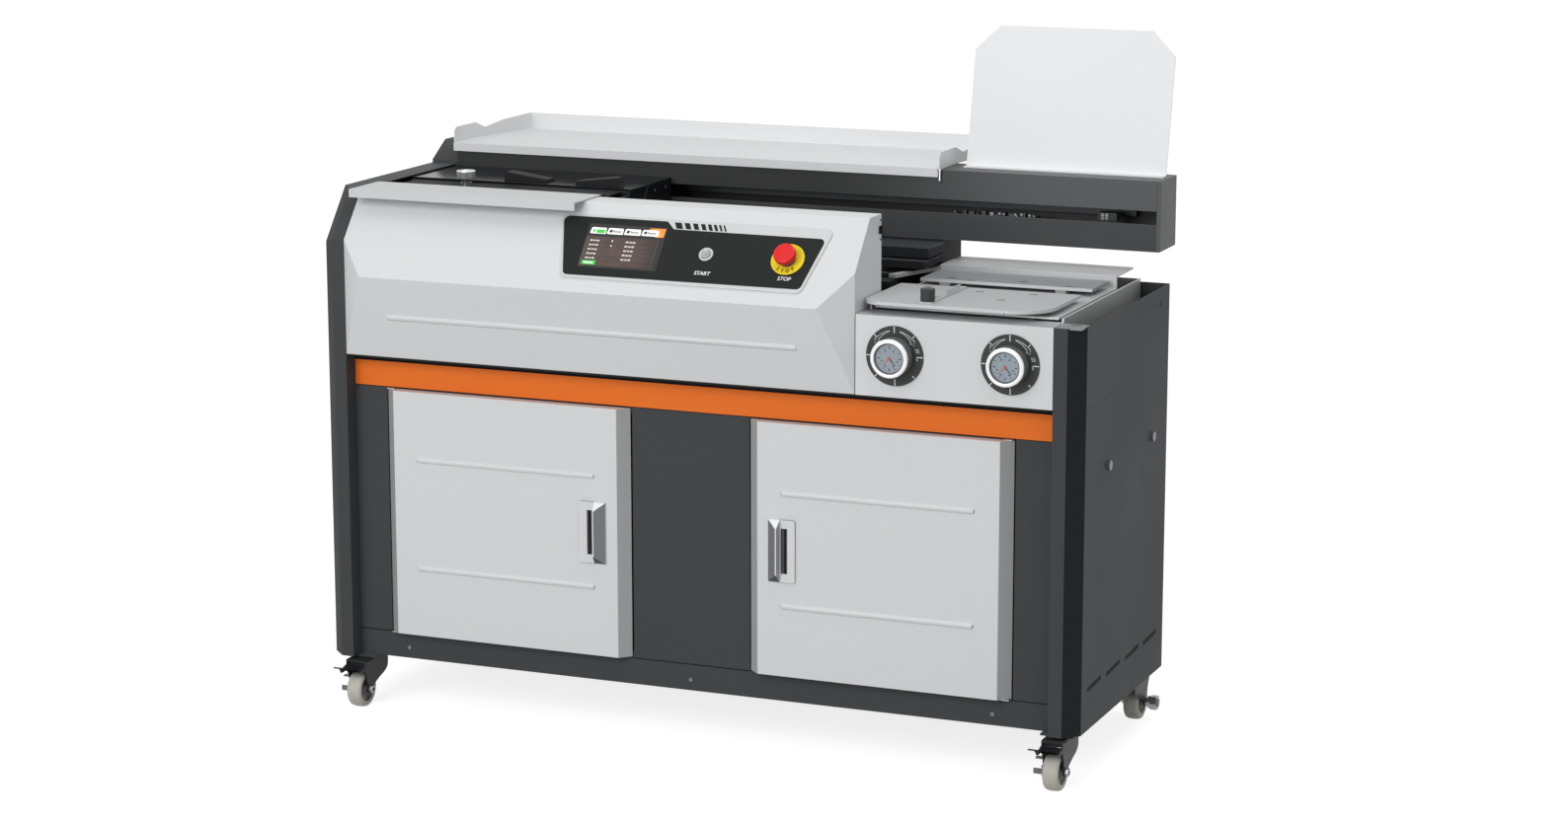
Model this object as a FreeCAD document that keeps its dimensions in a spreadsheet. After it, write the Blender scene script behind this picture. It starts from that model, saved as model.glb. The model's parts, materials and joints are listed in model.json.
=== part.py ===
import FreeCAD, Part
import math
import os
import re
from FreeCAD import Placement, Rotation, Vector
import Sketcher

# Perfect binding machine on casters.  Millimetres.  Places are measured from the left outer
# face (x), from the front face of the columns backwards (y) and from the floor (z); the
# origin of the finished part is the floor point under the middle of its bounding box.

SIZES = {
    # cabinet
    "width": 1500,
    "depth": 527.5,
    "lower_height": 590,
    "right_upper_height": 145,
    "column_width": 52.8,
    "column_chamfer": 27.7,
    "rear_flange": 30,
    "sheet": 2,
    "front_recess": 34,
    "rail_height": 50,
    "band_height": 49,
    "band_gap": 15,
    "frame_lap": 10,
    "hinge_notch": 14,
    "deck_thickness": 4,
    "crossbar_depth": 22,
    "crossbar_height": 46,
    "panel_gap": 0.2,
    "vent_count": 4,
    "vent_first": 60,
    "vent_last": 43.5,
    "vent_length": 82,
    "vent_height": 7,
    "vent_level": 72,
    "vent_slant": 4,
    # doors
    "door_width": 503,
    "door_thickness": 20,
    "door_bevel": 21,
    "door_skin": 1.5,
    "door_gap": 2.5,
    "door_clear": 0.5,
    "left_door_x": 123,
    "right_door_margin": 132,
    "bead_length": 360,
    "bead_width": 13,
    "bead_rise": 3.5,
    "bead_level": 131.5,
    "bead_spacing": 210,
    "hinge_inset": 10,
    "hinge_back": 4.5,
    "hinge_pin_radius": 2,
    "hinge_pin_length": 12,
    "hinge_plate": 1.5,
    "handle_width": 52,
    "handle_height": 116,
    "handle_base": 3,
    "handle_rise": 13,
    "handle_level": 177.5,
    "handle_inset": 22,
    "handle_slot_width": 8,
    "handle_slot_length": 84,
    "fit_clearance": 0.05,
    # front cover and control panel
    "cover_height": 306,
    "right_bay_width": 421.6,
    "cover_front": 1.6,
    "cover_top_front": 74,
    "cover_top_back": 131,
    "end_drop": 2,
    "slope_rise": 89,
    "ridge_drop": 59.5,
    "ridge_left_inset": 57.2,
    "ridge_right_inset": 55.4,
    "cover_bead_level": 81,
    "cover_bead_inset": 106,
    "panel_width": 530,
    "panel_inset": 60.9,
    "panel_taper": 30,
    "panel_low": -46,
    "panel_high": 84.5,
    "panel_thickness": 2.5,
    "panel_opening_margin": 22,
    "screen_inset": 58.5,
    "screen_width": 152,
    "screen_low": -23.5,
    "screen_height": 88.5,
    "screen_body": 24,
    "screen_proud": 1,
    "screen_gap": 0.3,
    "start_inset": 301,
    "start_up": 17,
    "start_radius": 9,
    "start_bezel_radius": 13.5,
    "start_bezel_height": 2,
    "start_proud": 4,
    "start_depth": 12,
    "stop_inset": 459.3,
    "stop_up": 17.5,
    "stop_stem_radius": 11,
    "stop_head_radius": 20,
    "stop_head_height": 16,
    "stop_head_gap": 11.5,
    "stop_depth": 15,
    # fascia, dials and table frame
    "bay_gap": 2.1,
    "fascia_gap": 0.4,
    "gutter_depth": 60,
    "dial_left_inset": 74.5,
    "dial_right_inset": 130.5,
    "dial_level": 75,
    "dial_radius": 35,
    "dial_height": 31.5,
    "dial_standoff": 2.5,
    "dial_shaft_radius": 6,
    "dial_boss_radius": 13,
    "dial_boss_length": 30,
    "screw_radius": 5,
    "screw_length": 130,
    "stop_block_width": 40,
    "stop_block_depth": 30,
    "stop_block_gap": 10,
    "table_inset": 3.5,
    "table_margin": 1.2,
    "table_wall": 4,
    "table_rise": 7,
    "table_back_gap": 7.5,
    "socket_size": 80,
    "socket_wall": 8,
    "socket_height": 100,
    "socket_gap": 0.3,
    "lift_margin": 10,
    "lift_thickness": 4,
    "lift_column": 130,
    "lift_front": 62,
    "rear_table_height": 23,
    "rear_table_gap": 8,
    "rear_table_margin": 15,
    # clamping plates
    "nip_overhang": 3,
    "nip_right_inset": 22,
    "nip_front": 19,
    "nip_front_depth": 207,
    "nip_gap": 66,
    "nip_rear_depth": 100,
    "nip_thickness": 6,
    "nip_foot_height": 8,
    "nip_corner": 74,
    "nip_foot_width": 20,
    "nip_foot_inset": 50,
    "slide_gap": 0.3,
    "guide_inset": 117,
    "guide_width": 24,
    "guide_setback": 16,
    "guide_length": 187,
    "guide_thickness": 2,
    "guide_fence": 12,
    "guide_slot_radius": 3.3,
    "guide_slot_length": 60,
    "guide_knob_setback": 29,
    "guide_knob_radius": 13,
    "guide_knob_height": 22,
    "guide_stud_radius": 3,
    # beam, rail and tray
    "beam_setback": 70.5,
    "beam_depth": 100,
    "beam_drop": 93,
    "beam_height": 131,
    "beam_wall": 4,
    "bracket_width": 60,
    "bracket_bevel_height": 34,
    "bracket_bevel_depth": 55,
    "slot_level": 50,
    "slot_height": 25,
    "rail_depth": 18,
    "rail_thickness": 20,
    "rail_rise": 2,
    "rail_inset": 70,
    "chain_setback": 9,
    "chain_depth": 10,
    "chain_height": 10,
    "chain_level": 37,
    "tray_left": 50,
    "tray_margin": 8.4,
    "tray_lap": 2,
    "tray_overhang": 238,
    "tray_drop": 10,
    "tray_wall_high": 32,
    "tray_wall_low": 18,
    "tray_back_wall": 34,
    "tray_skirt": 14,
    "tray_hump_length": 90,
    "tray_dip_length": 42,
    "tray_rise_length": 84,
    "platform_width": 390,
    "platform_margin": 10,
    "platform_setback": 34,
    "platform_foot": 20,
    "platform_height": 268,
    "platform_lean_back": 55.7,
    "platform_corner": 46,
    # carriage
    "carriage_left": 53,
    "carriage_length": 467,
    "shelf_front": 25,
    "shelf_lap": 9,
    "shelf_gap": 0.8,
    "shelf_lip": 15,
    "casing_drop": 5,
    "casing_height": 61,
    "casing_back_gap": 2,
    "casing_overlap": 6,
    "casing_lip": 24,
    "end_plate": 6,
    "end_plate_gap": 3,
    "end_plate_drop": 4,
    "front_bar": 10,
    "front_bar_drop": 11,
    "cover_strip_depth": 69,
    "rear_jaw_front": 268,
    "jaw_thickness": 8,
    "jaw_reach": 19,
    "jaw_gap": 12,
    "jaw_drop": 3,
    "jaw_top_depth": 78,
    "jaw_side_gap": 5,
    "jaw_rod_radius": 6,
    "jaw_rod_inset": 55,
    "jaw_rod_rise": 7,
    "arm_width": 60,
    "runner_inset": 90,
    "arm_gap": 4,
    "runner_setback": 54,
    "runner_depth": 44,
    "runner_height": 44,
    "grip_length": 92,
    "grip_width": 30,
    "grip_height": 16,
    "grip_low_end": 5,
    "grip_setback": 32,
    "grip_first_inset": 185,
    "grip_spacing": 152,
    "knob_inset": 137,
    "knob_setback": 20,
    "knob_radius": 18,
    "knob_height": 15,
    "knob_neck": 12,
    "knob_neck_radius": 10,
    "knob_stem_radius": 5,
    "motor_width": 60,
    "motor_depth": 83,
    "motor_height": 40,
    "motor_bore_depth": 63,
    "sprocket_radius": 12,
    "sprocket_teeth": 10,
    "sprocket_tooth": 1.6,
    "sprocket_hub_radius": 5,
    "mesh_gap": 0.4,
    # milling and gluing stations
    "mill_distance": 92,
    "mill_motor_radius": 55,
    "mill_motor_gap": 14,
    "mill_shaft_radius": 10,
    "cutter_radius": 58,
    "cutter_thickness": 14,
    "cutter_teeth": 12,
    "cutter_tooth": 8,
    "cutter_depth": 16,
    "glue_distance": 108,
    "glue_length": 200,
    "glue_width": 140,
    "glue_height": 70,
    "glue_wall": 6,
    "glue_stand": 60,
    "roller_radius": 30,
    "roller_proud": 10,
    "roller_end_gap": 6,
    "roller_depth": 14,
    "roller_shaft_radius": 8,
    "glue_drive": 44,
    # electrics
    "control_gap": 14,
    "control_wall": 2,
    "inlet_width": 48,
    "inlet_height": 28,
    "inlet_depth": 26,
    "inlet_level": 100,
    "inlet_cavity": 16,
    # casters
    "caster_left_inset": 60,
    "caster_right_inset": 42,
    "caster_front": 50,
    "caster_rear_inset": 62.5,
    "caster_headroom": 30,
    "caster_trail": 35,
    "wheel_radius": 35,
    "wheel_width": 30,
    "wheel_round": 7,
    "axle_radius": 4,
    "axle_nut": 8,
    "axle_nut_width": 6,
    "fork_gap": 2,
    "fork_cheek": 3,
    "fork_top": 4,
    "fork_back": 36,
    "fork_front": 22,
    "fork_leg": 32,
    "kingpin_radius": 5,
    "caster_plate": 4,
    "caster_plate_size": 62,
    "swivel_gap": 0.3,
    "pedal_thickness": 3,
    "pedal_reach": 20,
    "pedal_overhang": 20,
    "pedal_pin_radius": 2,
    "pedal_pin_rise": 10,
    "pedal_knuckle": 4,
    # fasteners
    "side_hole_radius": 5,
    "side_hole_inset": 59.5,
    "side_hole_drop": 30,
    "side_bolt_radius": 9,
    "side_bolt_height": 5,
    "side_bolt_drop": 126,
    "side_bolt_front": 163,
    "side_bolt_inset": 96.5,
    "rail_screw_radius": 4,
    "rail_screw_height": 2,
    "rail_screw_level": 21,
    "rail_screw_left": 157,
    "rail_screw_offset": 6,
    "rail_screw_inset": 167,
}

WORKED_OUT = {
    # cabinet
    "floor_gap": "2 * wheel_radius + caster_headroom",
    "seam": "floor_gap + lower_height",
    "rail_top": "floor_gap + rail_height",
    "band_top": "seam - band_gap",
    "band_bottom": "band_top - band_height",
    "panel_plane": "front_recess + sheet",
    "inner_left": "column_width + panel_gap",
    "inner_right": "width - column_width - panel_gap",
    "vent_z": "floor_gap + vent_level",
    "vent_pitch": "(depth - vent_first - vent_last - vent_length) / (vent_count - 1)",
    "side_hole_y": "depth - side_hole_inset",
    "side_hole_z": "seam + right_upper_height - side_hole_drop",
    "side_bolt_z": "seam - side_bolt_drop",
    "side_bolt_rear": "depth - side_bolt_inset",
    "rail_screw_z": "floor_gap + rail_screw_level",
    "rail_screw_middle": "width / 2 - rail_screw_offset",
    "rail_screw_right": "width - rail_screw_inset",
    # doors
    "right_door_x": "width - right_door_margin - door_width",
    "door_back": "front_recess - door_clear",
    "door_front": "door_back - door_thickness",
    "door_bottom": "rail_top + door_gap",
    "door_top": "band_bottom - door_gap",
    "bead_low": "door_bottom + bead_level",
    "bead_high": "bead_low + bead_spacing",
    "handle_z": "door_bottom + handle_level",
    # front cover and control panel
    "cover_top": "seam + cover_height",
    "cover_right": "width - right_bay_width",
    "left_upper_height": "cover_height - end_drop",
    "slope_run": "cover_top_front - cover_front",
    "slope": "atan(slope_run / slope_rise) / 1 deg",
    "slope_foot": "cover_top - slope_rise",
    "ridge_height": "slope_foot - ridge_drop",
    "ridge_y": "cover_front - ridge_drop * slope_run / slope_rise",
    "ridge_left": "column_width + ridge_left_inset",
    "ridge_right": "cover_right - ridge_right_inset",
    "cover_skin": "1.3 * sheet",
    "cover_bead_z": "seam + cover_bead_level",
    "cover_bead_left": "column_width + cover_bead_inset",
    "cover_bead_right": "cover_right - cover_bead_inset",
    "panel_right": "cover_right - panel_inset",
    "panel_left": "panel_right - panel_width",
    "screen_left": "panel_left + screen_inset",
    "start_x": "panel_left + start_inset",
    "stop_x": "panel_left + stop_inset",
    # right-hand table
    "fascia_left": "cover_right + bay_gap",
    "dial_left_x": "fascia_left + dial_left_inset",
    "dial_right_x": "width - dial_right_inset",
    "dial_z": "seam + dial_level",
    "stop_block_start": "dial_boss_length + stop_block_gap",
    "table_left": "fascia_left + table_inset",
    "table_right": "width - column_width - table_margin",
    "table_top": "seam + right_upper_height + table_rise",
    "table_back": "depth - table_back_gap",
    "nip_left": "table_left - nip_overhang",
    "nip_right": "table_right - nip_right_inset",
    "nip_front_back": "nip_front + nip_front_depth",
    "nip_rear_front": "nip_front_back + nip_gap",
    "nip_rear_back": "nip_rear_front + nip_rear_depth",
    "nip_height": "table_top + nip_foot_height + nip_thickness",
    "rear_table_front": "nip_rear_back + rear_table_gap",
    "rear_table_back": "table_back - rear_table_margin",
    "lift_x": "(table_left + table_right) / 2",
    "lift_y": "(lift_front + rear_table_back) / 2",
    "guide_x": "nip_left + guide_inset",
    "guide_front": "nip_front + guide_setback",
    "guide_back": "guide_front + guide_length",
    "guide_knob_y": "nip_front + guide_knob_setback",
    # beam, rail and tray
    "beam_front": "depth - beam_setback",
    "beam_back": "beam_front + beam_depth",
    "beam_bottom": "cover_top - beam_drop",
    "beam_top": "beam_bottom + beam_height",
    "slot_bottom": "beam_bottom + slot_level",
    "rail_z": "slot_bottom + rail_rise",
    "chain_y": "beam_front + chain_setback",
    "chain_z": "beam_bottom + chain_level",
    "tray_right": "cover_right - tray_margin",
    "tray_front": "beam_front - tray_lap",
    "tray_back": "beam_back + tray_overhang",
    "tray_hump_end": "tray_front + tray_hump_length",
    "tray_dip": "tray_hump_end + tray_dip_length",
    "tray_rise": "tray_dip + tray_rise_length",
    "platform_right": "width - platform_margin",
    "platform_left": "platform_right - platform_width",
    "platform_y": "beam_back - platform_setback",
    "platform_lean": "asin(platform_lean_back / platform_height) / 1 deg",
    # carriage
    "carriage_right": "carriage_left + carriage_length",
    "carriage_middle": "carriage_left + carriage_length / 2",
    "shelf_back": "cover_top_back + shelf_lap",
    "shelf_bottom": "cover_top + shelf_gap",
    "shelf_top": "shelf_bottom + sheet",
    "casing_top": "cover_top - casing_drop",
    "casing_bottom": "casing_top - casing_height",
    "casing_front": "rear_jaw_front + casing_overlap",
    "end_plate_front": "cover_top_back + end_plate_gap",
    "end_plate_top": "casing_top - end_plate_drop",
    "front_bar_top": "casing_top - front_bar_drop",
    "cover_strip_back": "end_plate_front + cover_strip_depth",
    "jaw_bottom": "beam_bottom - jaw_reach",
    "jaw_top": "casing_top - jaw_drop",
    "jaw_face": "rear_jaw_front - jaw_gap",
    "jaw_top_front": "jaw_face - jaw_top_depth",
    "jaw_rod_z": "slot_bottom + jaw_rod_rise",
    "runner_front": "beam_back - runner_setback",
    "grip_y": "rear_jaw_front + grip_setback",
    "grip_first_x": "carriage_left + grip_first_inset",
    "grip_second_x": "grip_first_x + grip_spacing",
    "knob_x": "carriage_left + knob_inset",
    "knob_y": "jaw_face - knob_setback",
    "motor_back": "beam_front - casing_back_gap - front_bar",
    "motor_front": "motor_back - motor_depth",
    "sprocket_z": "chain_z + chain_height + mesh_gap + sprocket_radius",
    # milling and gluing stations
    "path_y": "rear_jaw_front - jaw_gap / 2",
    "mill_x": "carriage_right + mill_distance",
    "cutter_top": "jaw_bottom - cutter_depth",
    "mill_motor_height": "cutter_top - cutter_thickness - mill_motor_gap - seam",
    "glue_left": "mill_x + glue_distance",
    "roller_x": "glue_left + glue_length / 2",
    "roller_top": "jaw_bottom - roller_depth",
    "roller_z": "roller_top - roller_radius",
    "glue_bottom": "roller_top - roller_proud - glue_height",
    # electrics and casters
    "control_left": "left_door_x + door_width + control_gap",
    "control_right": "right_door_x - control_gap",
    "inlet_x": "(control_left + control_right) / 2",
    "inlet_z": "floor_gap + inlet_level",
    "caster_rear": "depth - caster_rear_inset",
    "swivel_top": "floor_gap - caster_plate - swivel_gap",
    "cheek_inner": "wheel_width / 2 + fork_gap",
    "cheek_outer": "cheek_inner + fork_cheek",
    "pedal_pin_z": "2 * wheel_radius + pedal_pin_rise",
    # origin of the finished part
    "middle_x": "width / 2",
    "middle_y": "(ridge_y + tray_back) / 2",
}

DOC = FreeCAD.newDocument("perfect_binding_machine")
SHEET = DOC.addObject("Spreadsheet::Sheet", "Sizes")
NODES = {}


def fill_sheet():
    rows = [(name, str(value)) for name, value in SIZES.items()]
    rows += [(name, "=" + formula) for name, formula in WORKED_OUT.items()]
    for row, (name, content) in enumerate(rows, start=1):
        SHEET.set(f"A{row}", name)
        SHEET.set(f"B{row}", content)
        SHEET.setAlias(f"B{row}", name)
    DOC.recompute()


def sheet_words(text):
    """Turn the names in an expression into references to the sheet's cells."""
    def refer(word):
        known = word.group() in SIZES or word.group() in WORKED_OUT
        return "Sizes." + word.group() if known else word.group()
    return re.sub(r"[a-z][a-z0-9_]*", refer, str(text))


def bind(piece, **fields):
    for field, text in fields.items():
        piece.setExpression(field.replace("__", "."), sheet_words(text))


def place(piece, x, y, z):
    bind(
        piece,
        Placement__Base__x=f"({x}) - middle_x",
        Placement__Base__y=f"({y}) - middle_y",
        Placement__Base__z=z,
    )
    return piece


def on_slope(piece, x, up, out):
    """Lay a piece on the cover's sloping face: its own y runs up the slope, z out of it."""
    piece.Placement = Placement(Vector(), Rotation(Vector(1, 0, 0), 45))
    bind(piece, Placement__Rotation__Angle="(90 - slope) * 1 deg")
    return place(
        piece,
        x,
        f"cover_front + ({up}) * sin(slope) - ({out}) * cos(slope)",
        f"slope_foot + ({up}) * cos(slope) + ({out}) * sin(slope)",
    )


def block(x, y, z):
    """Box between two places on each axis."""
    piece = DOC.addObject("Part::Box", "block")
    bind(
        piece,
        Length=f"({x[1]}) - ({x[0]})",
        Width=f"({y[1]}) - ({y[0]})",
        Height=f"({z[1]}) - ({z[0]})",
    )
    return place(piece, x[0], y[0], z[0])


TURNS = {
    "X": Rotation(Vector(0, 1, 0), 90),
    "Y": Rotation(Vector(1, 0, 0), -90),
    "Z": Rotation(),
}


def rod(axis, radius, length, x, y, z):
    """Cylinder that starts at x, y, z and runs towards plus axis."""
    piece = DOC.addObject("Part::Cylinder", "rod")
    piece.Placement = Placement(Vector(), TURNS[axis])
    bind(piece, Radius=radius, Height=length)
    return place(piece, x, y, z)


def bead(length, x, y, z):
    """Long round ridge with ball ends, along x; only a part of it stands out of its panel."""
    pieces = [rod("X", "bead_width / 2", length, x, y, z)]
    for end in (x, f"({x}) + ({length})"):
        ball = DOC.addObject("Part::Sphere", "ball")
        bind(ball, Radius="bead_width / 2")
        pieces.append(place(ball, end, y, z))
    return pieces


def join(*pieces):
    piece = DOC.addObject("Part::MultiFuse", "join")
    piece.Shapes = list(pieces)
    piece.Refine = True
    return piece


def carve(base, *tools):
    piece = DOC.addObject("Part::Cut", "carve")
    piece.Base = base
    piece.Tool = tools[0] if len(tools) == 1 else join(*tools)
    return piece


def overlap(first, second):
    piece = DOC.addObject("Part::MultiCommon", "overlap")
    piece.Shapes = [first, second]
    return piece


def together(*pieces):
    """Separate solids in one node."""
    piece = DOC.addObject("Part::Compound", "together")
    piece.Links = list(pieces)
    return piece


def outline(sketch, points):
    """Closed polygon whose corners are bound to the sheet, both ways from the origin."""
    count = len(points)
    reach = SHEET.depth
    turns = [2 * math.pi * i / count for i in range(count)]
    ring = [Vector(reach * math.cos(turn), reach * math.sin(turn), 0) for turn in turns]
    for i in range(count):
        sketch.addGeometry(Part.LineSegment(ring[i], ring[(i + 1) % count]), False)
    for i in range(count):
        sketch.addConstraint(Sketcher.Constraint("Coincident", i, 2, (i + 1) % count, 1))
    for i, (across, along) in enumerate(points):
        for kind, start, text in (("DistanceX", ring[i].x, across), ("DistanceY", ring[i].y, along)):
            index = sketch.addConstraint(Sketcher.Constraint(kind, -1, 1, i, 1, start))
            sketch.setExpression(f"Constraints[{index}]", sheet_words(text))


def prism(plane, points, start, end):
    """Outline in the XY, XZ or YZ plane, padded from start to end along the third axis."""
    body = DOC.addObject("PartDesign::Body", "prism")
    sketch = body.newObject("Sketcher::SketchObject", "outline")
    features = body.Origin.OriginFeatures
    side = next(feature for feature in features if feature.Role == plane + "_Plane")
    sketch.AttachmentSupport = [(side, "")]
    sketch.MapMode = "FlatFace"
    outline(sketch, points)
    pad = body.newObject("PartDesign::Pad", "pad")
    pad.Profile = sketch
    pad.Reversed = plane == "XZ"
    bind(pad, Length=f"({end}) - ({start})")
    sketch.Visibility = False
    if plane == "XY":
        place(body, 0, 0, start)
    elif plane == "XZ":
        place(body, 0, start, 0)
    else:
        place(body, start, 0, 0)
    return body


def edges_where(piece, wanted):
    """Numbers of the edges whose two ends both satisfy the test, in machine places."""
    DOC.recompute()
    shift = Vector(SHEET.middle_x, SHEET.middle_y, 0)
    found = []
    for number, edge in enumerate(piece.Shape.Edges, start=1):
        ends = [vertex.Point + shift for vertex in edge.Vertexes]
        if len(ends) == 2 and all(wanted(end) for end in ends):
            found.append(number)
    return found


def ease(kind, piece, size, wanted):
    """Part::Fillet or Part::Chamfer on the edges that satisfy the test."""
    eased = DOC.addObject(kind, "eased")
    eased.Base = piece
    eased.Edges = [(number, size, size) for number in edges_where(piece, wanted)]
    return eased


def near(value, target):
    return abs(value - target) < 0.01


def node(name, piece):
    piece.Label = name
    NODES[name] = piece


# ---------------------------------------------------------------- cabinet

def column_plan(side):
    """Folded sheet in plan: inner cheek, front strip, chamfer, side wall and rear flange."""
    points = [
        ("column_width", "panel_plane"),
        ("column_width", "0"),
        ("column_chamfer", "0"),
        ("0", "column_chamfer"),
        ("0", "depth"),
        ("rear_flange", "depth"),
        ("rear_flange", "depth - sheet"),
        ("sheet", "depth - sheet"),
        ("sheet", "column_chamfer + 0.41 * sheet"),
        ("column_chamfer + 0.41 * sheet", "sheet"),
        ("column_width - sheet", "sheet"),
        ("column_width - sheet", "panel_plane"),
    ]
    if side == "right":
        points = [(f"width - ({across})", along) for across, along in points]
    return points


def vent(side, index):
    """Slanted slot through the side wall."""
    start = f"vent_first + {index} * vent_pitch"
    points = [
        (start, "vent_z"),
        (f"{start} + vent_length", "vent_z + vent_slant"),
        (f"{start} + vent_length", "vent_z + vent_slant + vent_height"),
        (start, "vent_z + vent_height"),
    ]
    if side == "left":
        return prism("YZ", points, "-1", "sheet + 1")
    return prism("YZ", points, "width - sheet - 1", "width + 1")


def side_panel(side):
    wall = prism("XY", column_plan(side), "floor_gap", "seam")
    vents = [vent(side, index) for index in range(SIZES["vent_count"])]
    node(f"{side}_side_panel", carve(wall, *vents))


def right_upper_panel():
    """Column cap, open at the top, with one bolt hole near its upper rear corner."""
    wall = prism("XY", column_plan("right"), "seam", "seam + right_upper_height")
    end_wall = block(
        ("table_right - 2 * table_wall", "width - sheet / 2"), ("depth - sheet", "depth"), ("seam", "seam + right_upper_height"),
    )
    hole = rod("X", "side_hole_radius", "2 * sheet", "width - 1.5 * sheet", "side_hole_y", "side_hole_z")
    node("right_upper_panel", carve(join(wall, end_wall), hole))


def left_end_outline(inset):
    """Side view of the left end: front, slope, flat top and the step under the beam."""
    top = f"seam + left_upper_height - ({inset})"
    lean = "slope_run / slope_rise"
    skew = f"({inset}) * 1.3"
    return [
        (skew, "seam"),
        (skew, "slope_foot"),
        (f"({skew}) + ({top} - slope_foot) * {lean}", top),
        (f"beam_front - ({inset})", top),
        (f"beam_front - ({inset})", f"beam_bottom - ({inset})"),
        (f"depth - ({inset})", f"beam_bottom - ({inset})"),
        (f"depth - ({inset})", "seam"),
    ]


def left_upper_panel():
    """Hollow end cap whose outer front and sloping edges carry the column's chamfer."""
    size = SIZES["column_chamfer"]
    outer = prism("YZ", left_end_outline("0"), "0", "column_width")
    inner = prism("YZ", left_end_outline("sheet"), "sheet", "column_width + sheet")
    eased = []
    for blank, face, skew in ((outer, 0, 0), (inner, SIZES["sheet"], 1.3 * SIZES["sheet"])):
        top = SHEET.seam + SHEET.left_upper_height - face
        front = SHEET.slope_run / SHEET.slope_rise * (top - SHEET.slope_foot) + skew
        eased.append(ease(
            "Part::Chamfer",
            blank,
            size,
            lambda end: near(end.x, face) and end.y < front + 0.01,
        ))
    node("left_upper_panel", carve(*eased))


def caster_places():
    """Corner name, x and y of each kingpin."""
    return [
        ("front_left", "caster_left_inset", "caster_front"),
        ("front_right", "width - caster_right_inset", "caster_front"),
        ("rear_left", "caster_left_inset", "caster_rear"),
        ("rear_right", "width - caster_right_inset", "caster_rear"),
    ]


def base_frame():
    """Floor plate with a front rail, a rear rail and four bored caster plates."""
    floor = "floor_gap + sheet"
    pieces = [
        block(("inner_left", "inner_right"), ("front_recess", "panel_plane"), ("floor_gap", "rail_top")),
        block(("inner_left", "inner_right"), ("panel_plane", "depth - sheet"), ("floor_gap", floor)),
        block(("sheet", "width - sheet"), ("panel_plane", "depth - sheet"), ("floor_gap", floor)),
        block(("rear_flange", "width - rear_flange"), ("depth - 2 * sheet", "depth - sheet"), (floor, "rail_top")),
    ]
    bores = []
    for _, x, y in caster_places():
        half = "caster_plate_size / 2"
        back = f"min({y} + {half}; depth - sheet)"
        pieces.append(block(
            (f"{x} - {half}", f"{x} + {half}"), (f"{y} - {half}", back), ("floor_gap - caster_plate", "floor_gap"),
        ))
        bores.append(rod(
            "Z", "kingpin_radius + fit_clearance", "caster_plate + sheet + 2", x, y, "floor_gap - caster_plate - 1",
        ))
    node("base_frame", carve(join(*pieces), *bores))


def door_frame():
    """Fillers and centre panel between the doors, tied by a strip above and one below."""
    level = ("front_recess", "panel_plane")
    rise = ("rail_top", "band_bottom")
    behind = ("panel_plane", "panel_plane + sheet")
    across = ("inner_left", "inner_right")
    left_edge = "left_door_x - door_gap"
    left_end = "left_door_x + door_width + door_gap"
    right_edge = "right_door_x - door_gap"
    right_end = "right_door_x + door_width + door_gap"
    frame = join(
        block(("inner_left", left_edge), level, rise),
        block((left_end, right_edge), level, rise),
        block((right_end, "inner_right"), level, rise),
        block(across, behind, ("door_top - frame_lap", "band_top - frame_lap")),
        block(across, behind, ("rail_top - rail_height / 2", "door_bottom + frame_lap")),
    )
    notches = [
        block(
            (f"{hinge_x(side)} - hinge_notch", f"{hinge_x(side)} + hinge_notch"), ("panel_plane", "panel_plane + 2 * sheet"),
            notch_z,
        )
        for side in ("left", "right")
        for notch_z in (
            ("door_bottom - swivel_gap", "door_bottom + frame_lap + 1"),
            ("door_top - frame_lap - 1", "door_top + swivel_gap"),
        )
    ]
    node("door_frame", carve(frame, *notches))


def trim_band():
    level = ("front_recess", "panel_plane")
    node("trim_band", block(("inner_left", "inner_right"), level, ("band_bottom", "band_top")))


def deck_plate():
    """Floor of the upper works, with the crossbar that carries the band and the door frame."""
    level = ("seam - deck_thickness", "seam")
    bar = ("panel_plane + sheet", "panel_plane + sheet + crossbar_depth")
    node("deck_plate", join(
        block(("inner_left", "inner_right"), ("cover_front + sheet", "depth - sheet"), level),
        block(("sheet", "width - sheet"), ("panel_plane", "depth - sheet"), level),
        block(("inner_left", "inner_right"), bar, ("seam - deck_thickness - crossbar_height", "seam - deck_thickness")),
    ))


def rear_panel():
    """Back of the cupboards, with the opening for the power inlet."""
    wall = block(("rear_flange", "width - rear_flange"), ("depth - sheet", "depth"), ("floor_gap", "seam"))
    hole = block(
        ("inlet_x - inlet_width / 2", "inlet_x + inlet_width / 2"), ("depth - 2 * sheet", "depth + sheet"),
        ("inlet_z", "inlet_z + inlet_height"),
    )
    node("rear_panel", carve(wall, hole))


def rear_housing():
    """Open-topped box behind the binding path; the beam stands on its walls."""
    outer = block(("inner_left", "cover_right"), ("beam_front", "beam_back"), ("seam", "beam_bottom"))
    inner = block(
        ("inner_left + sheet", "cover_right - sheet"), ("beam_front + sheet", "beam_back - sheet"),
        ("seam + sheet", "beam_bottom + 1"),
    )
    node("rear_housing", carve(outer, inner))


# ---------------------------------------------------------------- front cover

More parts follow.
